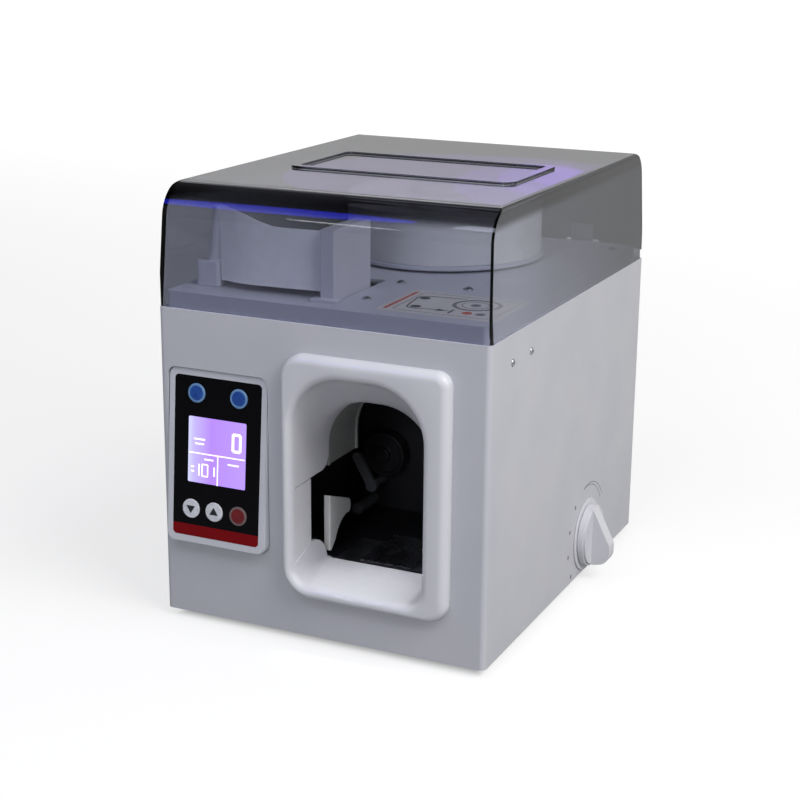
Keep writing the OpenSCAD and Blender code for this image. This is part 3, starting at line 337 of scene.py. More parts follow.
def foot_rubber():
    """Moulded black rubber: matt, with a little dust in it."""
    material, tree, shader = surface("foot_rubber", "#222224", 0.8)
    grain(tree, shader, 0.6, 0.05, 0.5)
    tint(tree, shader, 8, "#1E1E20", "#2B2B2D")
    return material


def print_ink(name, colour):
    """Screen printed ink: thin, smooth and a little glossy."""
    material, tree, shader = surface(name, colour, 0.45)
    grain(tree, shader, 0.3, 0.003, 0.2)
    vary(tree, shader, 6, 0.38, 0.52)
    return material


def solder_mask():
    """Green solder mask over copper tracks."""
    material, tree, shader = surface("solder_mask_green", "#15603C", 0.35)
    tint(tree, shader, 3, "#12552F", "#1B7048", 0.48, 0.52)
    return material


def studio_white(name, glow):
    """Matt floor and backdrop that look white: the glow is for the camera, for glass and, behind the machine,
    for reflections, so it lights nothing."""
    material, tree, shader = surface(name, "#9A9A9A", 0.9, **{"Specular IOR Level": 0.0})
    place = add(tree, "ShaderNodeNewGeometry")
    split = add(tree, "ShaderNodeSeparateXYZ", {0: place.outputs["Position"]})
    behind = add(tree, "ShaderNodeMapRange", {"Value": split.outputs[1], 1: -0.3, 2: 0.4, 4: 0.5})
    mirrored = add(tree, "ShaderNodeMath", {0: seen_by(tree, "Glossy"), 1: behind.outputs[0]},
                   operation="MULTIPLY")
    seen = add(tree, "ShaderNodeMath", {0: seen_by(tree, "Camera", "Transmission"), 1: mirrored.outputs[0]},
               operation="MAXIMUM")
    # a little more on the backdrop, which the lamps light less than the floor
    far = add(tree, "ShaderNodeMapRange", {"Value": split.outputs[1], 1: 0.3, 2: 2.0,
                                           3: glow, 4: 1.35 * glow})
    level = add(tree, "ShaderNodeMath", {0: seen.outputs[0], 1: far.outputs[0]}, operation="MULTIPLY")
    # none under the machine, where the vents would show it as white stripes
    low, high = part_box("cabinet_shell")
    dark, edge = 18 * MM, 4 * MM
    clear = []
    for axis in (0, 1):
        middle, half = (low[axis] + high[axis]) / 2, (high[axis] - low[axis]) / 2
        off = add(tree, "ShaderNodeMath", {0: split.outputs[axis], 1: middle}, operation="SUBTRACT")
        away = add(tree, "ShaderNodeMath", {0: off.outputs[0]}, operation="ABSOLUTE")
        share = add(tree, "ShaderNodeMapRange", {"Value": away.outputs[0], 1: half - dark, 2: half - edge})
        clear.append(share.outputs[0])
    beside = add(tree, "ShaderNodeMath", {0: clear[0], 1: clear[1]}, operation="MAXIMUM")
    shown = add(tree, "ShaderNodeMath", {0: level.outputs[0], 1: beside.outputs[0]}, operation="MULTIPLY")
    light = add(tree, "ShaderNodeEmission", {"Strength": shown.outputs[0]})
    both = add(tree, "ShaderNodeAddShader", {0: shader.outputs[0], 1: light.outputs[0]})
    output = next(n for n in tree.nodes if n.type == "OUTPUT_MATERIAL")
    tree.links.new(both.outputs[0], output.inputs["Surface"])
    return material


MATERIALS = {}


def finish(name):
    """The material of that name, made once."""
    makers = {
        "powder": powder_coat, "white_abs": moulded_abs_white, "grey_abs": moulded_abs_grey,
        "overlay_black": lambda: glossy_overlay("overlay_black", "#060609"),
        "overlay_red": lambda: glossy_overlay("overlay_red", "#78080F"),
        "key_blue": lambda: key_gloss("key_blue", "#12408E", "#1D52A2"),
        "key_ring": lambda: key_gloss("key_ring_blue", "#6C93BC", "#5C86B4"),
        "key_white": lambda: key_gloss("key_white", "#D9DADF", "#C9CAD0"),
        "key_red": lambda: key_gloss("key_red", "#741217", "#640E13"),
        "key_red_ring": lambda: key_gloss("key_ring_grey", "#75625F", "#665856"),
        "display": lit_display, "segment": lit_segment, "smoke": smoked_acrylic,
        "black_abs": matt_black_abs, "horn": natural_nylon, "drum": turned_black,
        "track": lambda: satin("track_grey", "#979894", 0.35),
        "arm": lambda: satin("arm_dark_nylon", "#5C5D60", 0.4),
        "steel": lambda: metal("zinc_plated_steel", "#B9BCC0", 0.35),
        "ground": lambda: metal("ground_steel", "#C9CBCE", 0.25, (1, 12, 1)),
        "dark_steel": lambda: metal("blackened_steel", "#3A3B3E", 0.4),
        "cast": lambda: metal("milled_aluminium", "#A9ABAE", 0.4, (12, 1, 1), 2.0),
        "brass": lambda: metal("cut_brass", "#C9A455", 0.3),
        "copper": lambda: metal("heater_copper", "#B8734A", 0.35),
        "paper": strapping_paper, "wound": wound_paper, "core": core_board, "rubber": foot_rubber,
        "ink_black": lambda: print_ink("ink_black", "#1C1C20"),
        "ink_red": lambda: print_ink("ink_red", "#C8452A"),
        "ink_grey": lambda: print_ink("ink_grey", "#6F7076"),
        "label": lambda: print_ink("laminated_label", "#DCDAD2"),
        "mask": solder_mask,
        "iron": lambda: metal("lacquered_iron", "#5A554E", 0.5, (1, 12, 1), 1.0),
    }
    if name not in MATERIALS:
        MATERIALS[name] = makers[name]()
    return MATERIALS[name]


# ---------- mesh helpers ----------


def put(name, data):
    """A new object in the scene for a mesh, curve, lamp or camera."""
    thing = bpy.data.objects.new(name, data)
    bpy.context.scene.collection.objects.link(thing)
    return thing


def mesh_of(name, verts, faces, outward=True):
    """A mesh of those vertices and faces; outward merges doubles and turns a closed one's faces outwards."""
    mesh = bpy.data.meshes.new(name)
    mesh.from_pydata([tuple(v) for v in verts], [], faces)
    if outward:
        work = bmesh.new()
        work.from_mesh(mesh)
        bmesh.ops.remove_doubles(work, verts=work.verts, dist=1e-6)
        bmesh.ops.recalc_face_normals(work, faces=work.faces)
        work.to_mesh(mesh)
        work.free()
    return mesh


def piece(name, verts, faces, material, node, body=None, slot=None, smooth=35, outward=True):
    """A mesh piece that rides with the body of a CAD node."""
    return seat(name, mesh_of(name, verts, faces, outward), material, node, body, smooth)


def seat(name, mesh, material, node, body=None, smooth=35):
    """Makes an object of a mesh, shades it smooth up to an angle and lets it ride with a node's body."""
    thing = put(name, mesh)
    mesh.materials.clear()
    mesh.materials.append(material)
    if smooth:
        mesh.shade_smooth()
        mesh.set_sharp_from_angle(angle=math.radians(smooth))
    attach(thing, body or BODY_OF[node])
    return thing


def merged_copy(node):
    """A bmesh of a CAD node with its loose triangles merged and its flat faces joined."""
    work = bmesh.new()
    work.from_mesh(frame["nodes"][node].data)
    bmesh.ops.remove_doubles(work, verts=work.verts, dist=2e-6)
    bmesh.ops.dissolve_limit(work, angle_limit=math.radians(0.5), verts=work.verts, edges=work.edges)
    return work


def dress(node, material, edge_mm, steps, smooth=30):
    """A copy of a CAD node with rounded edges, which stands for it."""
    work = merged_copy(node)
    mesh = bpy.data.meshes.new(node + "_finish")
    work.to_mesh(mesh)
    work.free()
    thing = seat(mesh.name, mesh, finish(material), node, smooth=smooth)
    rounding = thing.modifiers.new("edges", "BEVEL")
    rounding.width = edge_mm * MM
    rounding.segments = steps
    rounding.limit_method = "ANGLE"
    rounding.angle_limit = math.radians(40)
    # large flat faces keep their own direction, so that no shading runs across them from a rounded edge
    facing = thing.modifiers.new("facing", "WEIGHTED_NORMAL")
    facing.keep_sharp = True
    facing.weight = 100
    dissolve(thing)
    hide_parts(node)
    return thing


def dissolve(thing):
    """Turns a piece's modifiers into its own mesh."""
    graph = bpy.context.evaluated_depsgraph_get()
    mesh = bpy.data.meshes.new_from_object(thing.evaluated_get(graph))
    thing.modifiers.clear()
    old = thing.data
    thing.data = mesh
    bpy.data.meshes.remove(old)


def arc(cx, cy, r, a0, a1, n):
    """Points of an arc between two angles in degrees."""
    angles = [math.radians(a0 + (a1 - a0) * i / n) for i in range(n + 1)]
    return [(cx + r * math.cos(a), cy + r * math.sin(a)) for a in angles]


def round_rect(x0, x1, y0, y1, radii, n):
    """A rectangle with its own radius at each corner: bottom left, bottom right, top right, top left."""
    bl, br, tr, tl = radii
    return (arc(x0 + bl, y0 + bl, bl, 180, 270, n) + arc(x1 - br, y0 + br, br, 270, 360, n)
            + arc(x1 - tr, y1 - tr, tr, 0, 90, n) + arc(x0 + tl, y1 - tl, tl, 90, 180, n))


def loft(rings, closed=False, caps=(False, False)):
    """Vertices and faces of a skin over rings with equal counts of points."""
    count = len(rings[0])
    verts = [p for ring in rings for p in ring]
    faces = []
    for k in range(len(rings) if closed else len(rings) - 1):
        a, b = k * count, (k + 1) % len(rings) * count
        for i in range(count):
            j = (i + 1) % count
            faces.append((a + i, a + j, b + j, b + i))
    if caps[0]:
        faces.append(tuple(range(count - 1, -1, -1)))
    if caps[1]:
        faces.append(tuple(range((len(rings) - 1) * count, len(rings) * count)))
    return verts, faces


def lathe(profile, place, n=48):
    """Rings of (radius, height) turned about local Z and put in place by a matrix, closed at both ends."""
    rings = [[place @ Vector((x, y, h)) for x, y in arc(0, 0, r, 0, 360, n)[:-1]] for r, h in profile]
    return loft(rings, caps=(True, True))


def slab(outline, z0, z1):
    """A flat outline given a thickness, as vertices and faces."""
    return loft([[Vector((x, y, z)) for x, y in outline] for z in (z0, z1)], caps=(True, True))


def stroke(points, width, z0, z1, closed=False):
    """Printed line of even width through flat points, as the vertices and faces of a thin strip."""
    rings, count = [], len(points)
    for i, point in enumerate(points):
        before = points[i - 1] if closed or i else point
        after = points[(i + 1) % count] if closed or i < count - 1 else point
        along = Vector((after[0] - before[0], after[1] - before[1])).normalized() * width / 2
        left, right = (point[0] - along.y, point[1] + along.x), (point[0] + along.y, point[1] - along.x)
        rings.append([Vector((*left, z0)), Vector((*right, z0)), Vector((*right, z1)), Vector((*left, z1))])
    return loft(rings, closed=closed, caps=(not closed, not closed))


def joined(parts):
    """One list of vertices and faces from several."""
    verts, faces = [], []
    for more_verts, more_faces in parts:
        base = len(verts)
        verts += more_verts
        faces += [tuple(base + i for i in face) for face in more_faces]
    return verts, faces


def nodes_group(name, sockets):
    """A new Geometry Nodes tree with named inputs: sockets is a list of (name, kind, default)."""
    tree = bpy.data.node_groups.new(name, "GeometryNodeTree")
    tree.interface.new_socket("Geometry", in_out="OUTPUT", socket_type="NodeSocketGeometry")
    for label, kind, default in sockets:
        socket = tree.interface.new_socket(label, in_out="INPUT", socket_type=kind)
        if default is not None:
            socket.default_value = default
    return tree, add(tree, "NodeGroupInput"), add(tree, "NodeGroupOutput")


def grown(name, tree, values, material, node, body=None, smooth=35):
    """Runs a Geometry Nodes tree on an empty mesh and keeps the result as a plain piece."""
    carrier = put(name + "_maker", bpy.data.meshes.new(name + "_maker"))
    maker = carrier.modifiers.new("maker", "NODES")
    maker.node_group = tree
    for item in tree.interface.items_tree:
        if item.item_type == "SOCKET" and item.in_out == "INPUT" and item.name in values:
            maker[item.identifier] = values[item.name]
    graph = bpy.context.evaluated_depsgraph_get()
    mesh = bpy.data.meshes.new_from_object(carrier.evaluated_get(graph))
    mesh.name = name
    bpy.data.objects.remove(carrier)
    return seat(name, mesh, material, node, body, smooth)


def islands(node):
    """The boxes (low, high) of a CAD node's separate solids."""
    work = merged_copy(node)
    left, boxes = set(work.verts), []
    for first in work.verts:
        if first not in left:
            continue
        left.remove(first)
        stack, group = [first], []
        while stack:
            v = stack.pop()
            group.append(v.co.copy())
            for e in v.link_edges:
                other = e.other_vert(v)
                if other in left:
                    left.remove(other)
                    stack.append(other)
        boxes.append((Vector([min(c[i] for c in group) for i in range(3)]),
                      Vector([max(c[i] for c in group) for i in range(3)])))
    work.free()
    return boxes


# ---------- properties ----------


class CameraSizes(bpy.types.PropertyGroup):
    """Where the photograph was taken from."""
    azimuth: bpy.props.FloatProperty(
        name="Azimuth", description="Turn to the right of the front, in degrees", default=24.93)
    elevation: bpy.props.FloatProperty(
        name="Elevation", description="Height above the horizon, in degrees", default=16.32)
    roll: bpy.props.FloatProperty(name="Roll", description="Tilt of the camera, in degrees", default=0.49)
    lens: bpy.props.FloatProperty(
        name="Lens", description="Focal length for a 36 mm frame, in mm", default=75.71)
    place: bpy.props.FloatVectorProperty(
        name="Place", description="Camera's place in metres", size=3, subtype="TRANSLATION", unit="LENGTH",
        default=(0.47725, -1.0730, 0.4784))


class MouldingSizes(bpy.types.PropertyGroup):
    """Roundings of the white mouth moulding."""
    lip: bpy.props.FloatProperty(
        name="Lip", description="Rounding of the opening's front edge", default=0.0065, unit="LENGTH")
    rim: bpy.props.FloatProperty(
        name="Rim", description="Rounding of the rim's outer edge", default=0.006, unit="LENGTH")


class StudioLight(bpy.types.PropertyGroup):
    """Strength of the lamps."""
    key: bpy.props.FloatProperty(
        name="Key", description="Power of the large lamp at the right, in watts", default=41)
    fill: bpy.props.FloatProperty(
        name="Fill", description="Power of the lamp at the front, in watts", default=5)
    front: bpy.props.FloatProperty(
        name="Front", description="Power of the lamp above the front, in watts", default=2.6)
    mouth: bpy.props.FloatProperty(
        name="Mouth", description="Power of the lamp inside the mouth, in watts", default=0.0125)
    sky: bpy.props.FloatProperty(name="Sky", description="Strength of the world's light", default=0.31)


# ---------- cabinet ----------


class STRAP_OT_cabinet(bpy.types.Operator):
    """Coated cabinet, base, back, deck and feet"""
    bl_idname = "strap.cabinet"
    bl_label = "Cabinet"

    def execute(self, context):
        dress("cabinet_shell", "powder", 0.9, 3)
        dress("base_pan", "steel", 0.3, 1)
        dress("rear_panel", "powder", 0.3, 1)
        dress("deck_plate", "grey_abs", 1.2, 3)
        dress("rubber_feet", "rubber", 0.8, 2)
        dress("power_inlet", "black_abs", 0.5, 2)
        dress("hinge_brackets", "steel", 0.3, 1)
        return {"FINISHED"}


class STRAP_OT_screws(bpy.types.Operator):
    """Pan head screws with a cross recess, on the deck, the sides, the back and the feet"""
    bl_idname = "strap.screws"
    bl_label = "Screws"

    def head_tree(self):
        """A screw head, instanced on a line's points along one axis."""
        tree, given, out = nodes_group("screw_heads", [
            ("Radius", "NodeSocketFloat", 0.003), ("Height", "NodeSocketFloat", 0.002),
            ("Places", "NodeSocketObject", None), ("Turn", "NodeSocketVector", (0.0, 0.0, 0.0)),
            ("Material", "NodeSocketMaterial", None)])
        head = add(tree, "GeometryNodeMeshUVSphere", {"Segments": 24, "Rings": 12, "Radius": 1.0})
        flat = add(tree, "ShaderNodeCombineXYZ", {0: given.outputs["Radius"], 1: given.outputs["Radius"],
                                                  2: given.outputs["Height"]})
        dome = add(tree, "GeometryNodeTransform", {"Geometry": head.outputs[0], "Scale": flat.outputs[0]})
        # the two bars that cut the cross recess, as shares of the head's radius and height
        long, wide, deep = (add(tree, "ShaderNodeMath", {0: given.outputs[size], 1: share},
                                operation="MULTIPLY").outputs[0]
                            for size, share in (("Radius", 1.15), ("Radius", 0.2), ("Height", 1.1)))
        lift = add(tree, "ShaderNodeCombineXYZ", {2: given.outputs["Height"]})
        cutters = []
        for across, along in ((long, wide), (wide, long)):
            size = add(tree, "ShaderNodeCombineXYZ", {0: across, 1: along, 2: deep})
            bar = add(tree, "GeometryNodeMeshCube", {"Size": size.outputs[0]})
            cutters.append(add(tree, "GeometryNodeTransform", {"Geometry": bar.outputs[0],
                                                               "Translation": lift.outputs[0]}))
        cut = add(tree, "GeometryNodeMeshBoolean", {0: dome.outputs[0]}, operation="DIFFERENCE",
                  solver="EXACT")
        for cutter in cutters:
            tree.links.new(cutter.outputs[0], cut.inputs[1])
        places = add(tree, "GeometryNodeObjectInfo", {"Object": given.outputs["Places"]})
        points = add(tree, "GeometryNodeMeshToPoints", {"Mesh": places.outputs["Geometry"]})
        copies = add(tree, "GeometryNodeInstanceOnPoints", {
            "Points": points.outputs[0], "Instance": cut.outputs[0], "Rotation": given.outputs["Turn"]})
        real = add(tree, "GeometryNodeRealizeInstances", {0: copies.outputs[0]})
        paint = add(tree, "GeometryNodeSetMaterial", {"Geometry": real.outputs[0],
                                                      "Material": given.outputs["Material"]})
        tree.links.new(paint.outputs[0], out.inputs[0])
        return tree

    def group(self, tree, node, axis, side, radius, height, material, keep=lambda low, high: True):
        """Heads on the outer ends of a CAD node's screws along an axis."""
        spots = []
        for low, high in islands(node):
            spot = (low + high) / 2
            spot[axis] = high[axis] - height if side > 0 else low[axis] + height
            if keep(low, high):
                spots.append(spot)
        marks = put(node + "_spots", mesh_of(node + "_spots", spots, [], outward=False))
        turn = {(2, 1): (0, 0, 0), (2, -1): (math.pi, 0, 0), (1, 1): (-math.pi / 2, 0, 0),
                (0, 1): (0, math.pi / 2, 0), (0, -1): (0, -math.pi / 2, 0)}[(axis, side)]
        name = node + ("_heads" if side > 0 else "_heads_left")
        thing = grown(name, tree, {"Radius": radius, "Height": height, "Places": marks, "Turn": turn,
                                   "Material": material}, material, node)
        bpy.data.objects.remove(marks)
        return thing

    def execute(self, context):
        tree = self.head_tree()
        deck = self.group(tree, "deck_screws", 2, 1, 3.4 * MM, 2.0 * MM, finish("steel"))
        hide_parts("deck_screws")
        rear = self.group(tree, "rear_screws", 1, 1, 3.0 * MM, 1.8 * MM, finish("dark_steel"))
        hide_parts("rear_screws")
        foot = self.group(tree, "foot_screws", 2, -1, 3.6 * MM, 2.2 * MM, finish("steel"))
        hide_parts("foot_screws")
        middle = sum(v.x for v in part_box("side_screws")) / 2
        right = self.group(tree, "side_screws", 0, 1, 2.6 * MM, 1.2 * MM, finish("steel"),
                           lambda low, high: low.x > middle)
        self.group(tree, "side_screws", 0, -1, 2.6 * MM, 1.2 * MM, finish("steel"),
                   lambda low, high: high.x < middle)
        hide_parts("side_screws")
        return {"FINISHED"}


# ---------- key panel ----------


def panel_place():
    """The tilted panel's frame: local X right, Y up the panel, Z out of it, at the dark panel's middle."""
    (low, high), (strip_low, _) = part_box("keypad_panel"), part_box("accent_strip")
    x = (low.x + high.x) / 2
    tilt = math.radians(4.7)
    sheet = 1.0 * MM
    # the front edges: the lowest y at the bottom, and at the top the highest y less the sheet's thickness
    bottom = Vector((x, strip_low.y, strip_low.z))
    top = Vector((x, high.y - sheet * math.cos(tilt), high.z))
    return Matrix.Translation((bottom + top) / 2) @ Matrix.Rotation(math.pi / 2 - tilt, 4, "X")


class STRAP_OT_panel(bpy.types.Operator):
    """Panel frame, dark overlay, lit display and keys"""
    bl_idname = "strap.panel"
    bl_label = "Key panel"

    def cap(self, place, node, ring_finish, cap_finish, sign):
        """A domed key: a ring with a cap in it, and a printed sign."""
        low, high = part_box(node)
        spot = place.inverted() @ ((low + high) / 2)
        here = place @ Matrix.Translation((spot.x, spot.y, 0))
        radius, up, ring_foot, dome_foot, ink = 6.6 * MM, 0.7 * MM, -1.0 * MM, 0.1 * MM, 0.2 * MM
        # both profiles from their feet up, as shares of the key's radius and of its height over the panel
        ring = [(0.4, ring_foot), (1, ring_foot)]
        ring += [(r, z * up) for r, z in
                 ((1, 0.55), (0.97, 0.85), (0.93, 1), (0.8, 1), (0.77, 0.8), (0.4, 0.8))]
        dome = [(0.4, dome_foot), (0.765, dome_foot)]
        dome += [(r, z * up) for r, z in
                 ((0.765, 0.86), (0.72, 1), (0.5, 1.08), (0.25, 1.12), (0.05, 1.13))]
        ring, dome = ([(r * radius, z) for r, z in profile] for profile in (ring, dome))
        ring_piece = piece(node + "_ring", *lathe(ring, here), finish(ring_finish), node)
        piece(node + "_cap", *lathe(dome, here), finish(cap_finish), node)
        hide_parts(node)
        if sign:
            verts, faces = slab([(x * MM, y * MM) for x, y in sign], up, up + ink)
            piece(node + "_sign", [here @ v for v in verts], faces, finish("ink_black"), node)

    def segments(self, x, y, w, h, t, lit):
        """Bars of a seven segment figure, clockwise from the top one, which is 0, and the middle one, 6."""
        bars = [(x, y + h / 2, w, t), (x + w / 2, y + h / 4, t, h / 2), (x + w / 2, y - h / 4, t, h / 2),
                (x, y - h / 2, w, t), (x - w / 2, y - h / 4, t, h / 2), (x - w / 2, y + h / 4, t, h / 2),
                (x, y, w, t)]
        return [bars[i] for i in lit]

    def execute(self, context):
        place = panel_place()
        dress("control_bezel", "grey_abs", 1.3, 4)
        dress("keypad_panel", "overlay_black", 0.12, 1)
        dress("accent_strip", "overlay_red", 0.12, 1)
        dress("display_window", "display", 0.1, 1)
        down = [(-3.3, 2.0), (0, -3.3), (3.3, 2.0)]
        up = [(-3.3, -2.0), (3.3, -2.0), (0, 3.3)]
        for node, ring_finish, cap_finish, sign in (
                ("blue_key_left", "key_ring", "key_blue", None),
                ("blue_key_right", "key_ring", "key_blue", None),
                ("down_key", "key_white", "key_white", down),
                ("up_key", "key_white", "key_white", up),
                ("red_key", "key_red_ring", "key_red", None)):
            self.cap(place, node, ring_finish, cap_finish, sign)
        self.signs(place)
        return {"FINISHED"}

    def signs(self, place):
        """The display's signs: a 0 at the upper right, a divided lower band with small figures, and bars.
        Each bar is its middle, its width and its height, in mm from the display's middle."""
        low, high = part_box("display_window")
        middle = place.inverted() @ ((low + high) / 2)
        z0, z1 = middle.z + 0.45 * MM, middle.z + 0.62 * MM
        width, zero, one = 44.5, (0, 1, 2, 3, 4, 5), (1, 2)
        bars = [(0, -2.2, width * 0.97, 0.8), (width * 0.02, -12.8, 0.8, 20)]
        for figure in ((15.2, 8.4, 5.6, 11.5, 1.9, zero), (-9.0, -13.6, 4.4, 8.2, 0.9, zero),
                       (-15.6, -13.6, 4.0, 8.2, 0.9, one), (-3.4, -13.6, 3.4, 6.4, 1.0, one)):
            bars += self.segments(*figure)
        for x, y, span in ((-13.5, 7.6, 8.5), (-13.5, 4.4, 7.0), (-6.0, -5.8, 7.0), (13.0, -7.0, 8.5),
                           (-18.6, -12.0, 2.2), (-18.6, -15.0, 2.2)):
            bars.append((x, y, span, 1.1))
        parts = []
        for x, y, w, h in bars:
            corners = [(middle.x + (x + sx * w / 2) * MM, middle.y + (y + sy * h / 2) * MM)
                       for sx, sy in ((-1, -1), (1, -1), (1, 1), (-1, 1))]
            parts.append(slab(corners, z0, z1))
        verts, faces = joined(parts)
        verts = [place @ v for v in verts]
        piece("display_signs", verts, faces, finish("segment"), "display_window", outward=False, smooth=0)


# ---------- mouth ----------


class STRAP_OT_mouth(bpy.types.Operator):
    """White mouth moulding with its funnel, and what shows inside it"""
    bl_idname = "strap.mouth"
    bl_label = "Mouth"

    def moulding(self, sizes):
        """One closed skin of rings: from the rim's foot round the lip, back through the funnel, and forward
        again behind it."""
        low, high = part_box("mouth_bezel")
        track_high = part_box("arch_track")[1]
        front, deep = low.y, high.y
        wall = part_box("cabinet_shell")[0].y
        # the funnel's own thickness, and how far the arch stands inside the track's outer edges
        tunnel, over = 2.5 * MM, 5.0 * MM
        left_margin, right_margin, foot_margin, top_margin = 7.5 * MM, 18.2 * MM, 9.0 * MM, 14.5 * MM
        x0, x1 = low.x + left_margin, high.x - right_margin
        z0, z1 = low.z + foot_margin, high.z - top_margin
        arch_x, arch_z = track_high.x - over, track_high.z - over

        # widths of the roundings at the left, right, below and above, which share the rim's narrow margins
        rim = [sizes.rim * k for k in (0.55, 1.0, 0.65, 1.0)]
        lip = [sizes.lip * k for k in (0.58, 0.85, 0.7, 0.92)]
        rim_radii, mouth_radii, arch_radii = (
            [r * MM for r in radii] for radii in ((22, 14, 10, 16), (13, 13, 36, 36), (3, 3, 37, 37)))

        def ring(y, grow, kind):
            """The outline at a depth: grow is a share of the rim's or the lip's roundings, else a length."""
            if kind == "rim":
                left, right, below, above = (grow * width for width in rim)
                sides = low.x + left, high.x - right, low.z + below, high.z - above
                radii = [r - edge for r, edge in zip(rim_radii, (below, below, above, above))]
            elif kind == "lip":
                left, right, below, above = (grow * width for width in lip)
                sides = x0 - left, x1 + right, z0 - below, z1 + above
                radii = [r + edge for r, edge in zip(mouth_radii, (left, below, right, left))]
            elif kind == "mouth":
                sides = x0 - grow, x1 + grow, z0 - grow, z1 + grow
                radii = [r + grow for r in mouth_radii]
            else:
                sides = x0 - grow, arch_x + grow, z0 - grow, arch_z + grow
                radii = [r + grow for r in arch_radii]
            return [Vector((x, y, z)) for x, z in round_rect(*sides, radii, 14)]

        turns = [math.radians(15 * i) for i in range(7)]
        rings = [ring(wall, 0, "rim")]
        for a in turns[1:]:
            rings.append(ring(front + sizes.rim * (1 - math.sin(a)), 1 - math.cos(a), "rim"))
        for a in reversed(turns):
            rings.append(ring(front + sizes.lip * (1 - math.sin(a)), 1 - math.cos(a), "lip"))
        bend = deep - 14 * MM
        first, last = ring(front + sizes.lip, 0, "mouth"), ring(bend, 1 * MM, "arch")
        for i in range(1, 9):
            rings.append([a.lerp(b, i / 8) for a, b in zip(first, last)])
        for y, grow, kind in ((deep - 4 * MM, 0.2 * MM, "arch"), (deep, 0, "arch"), (deep, tunnel, "arch"),
                              (bend, tunnel + 1 * MM, "arch"), (wall, tunnel, "mouth")):
            rings.append(ring(y, grow, kind))
        verts, faces = loft(rings, closed=True)
        thing = piece("mouth_moulding", verts, faces, finish("white_abs"), "mouth_bezel", smooth=50)
        # the notch in the left wall's rear half, rounded where it meets the wall's end and curling down to
        # the floor, and before it the lower half of the wall, set back a little under a seam
        notch, rear, near = wall + 24 * MM, deep + 2 * MM, front + 7 * MM
        foot, top, turn = z0 + 20 * MM, z0 + 66 * MM, 11 * MM
        curl = [(notch + y * MM, foot - z * MM) for y, z in
                ((0, 0), (6, 1), (12, 3.3), (16, 6.5), (18.7, 10), (21, 16), (22, 19))]
        side = curl + [(rear, curl[-1][1]), (rear, top + turn)]
        side += arc(deep - turn, top + turn, turn, 0, -90, 8) + [(notch, top)]
        lapped = notch + 1 * MM
        panel = [(near, foot - 8 * MM), (notch - 8 * MM, foot - 3 * MM), (lapped, foot - 1 * MM),
                 (lapped, top - 0.5 * MM), (near, top - 0.5 * MM)]
        seam = [(near, top - 1.3 * MM), (lapped, top - 1.3 * MM), (lapped, top), (near, top)]
        for outline, reach in ((panel, 1.2 * MM), (seam, 2.1 * MM), (side, 12 * MM)):
            ends = [[Vector((x, y, z)) for y, z in outline] for x in (x0 - reach, x0 + 3 * MM)]
            cutter = put("notch", mesh_of("notch", *loft(ends, caps=(True, True))))
            cut = thing.modifiers.new("notch", "BOOLEAN")
            cut.operation = "DIFFERENCE"
            cut.solver = "EXACT"
            cut.object = cutter
            dissolve(thing)
            bpy.data.objects.remove(cutter)
        thing.data.shade_smooth()
        thing.data.set_sharp_from_angle(angle=math.radians(50))
        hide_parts("mouth_bezel")

    def execute(self, context):
        self.moulding(context.scene.strap_moulding)
        dress("arch_track", "track", 0.25, 1)
        dress("guide_horn", "horn", 0.9, 3)
        dress("bay_housing", "black_abs", 0.5, 1)
        dress("tape_drum", "drum", 0.6, 2)
        dress("bay_lever", "arm", 0.5, 2)
        dress("lower_roller", "arm", 0.5, 2)
        return {"FINISHED"}


class STRAP_OT_works(bpy.types.Operator):
    """Strapping head, drive, feed and electrics inside the cabinet"""
    bl_idname = "strap.works"
    bl_label = "Works"

    def execute(self, context):
        looks = {
            "cast": ("head_block",),
            "ground": ("cam_shaft", "front_clamp", "middle_clamp", "rear_clamp", "cutter_blade",
                       "anvil_plate", "pinch_roller"),
            "brass": ("drive_pinion",),
            "copper": ("heater_blade",),
            "steel": ("feed_frame", "potentiometer"),
            "dark_steel": ("cam_motor", "feed_motor"),
            "iron": ("transformer",),
            "rubber": ("feed_roller",),
            "black_abs": ("rocker_switch", "switch_rocker"),
            "mask": ("control_board", "display_board"),
        }
        for look, nodes in looks.items():
            for node in nodes:
                data = frame["nodes"][node].data
                data.materials.clear()
                data.materials.append(finish(look))
        return {"FINISHED"}


# ---------- tape ----------


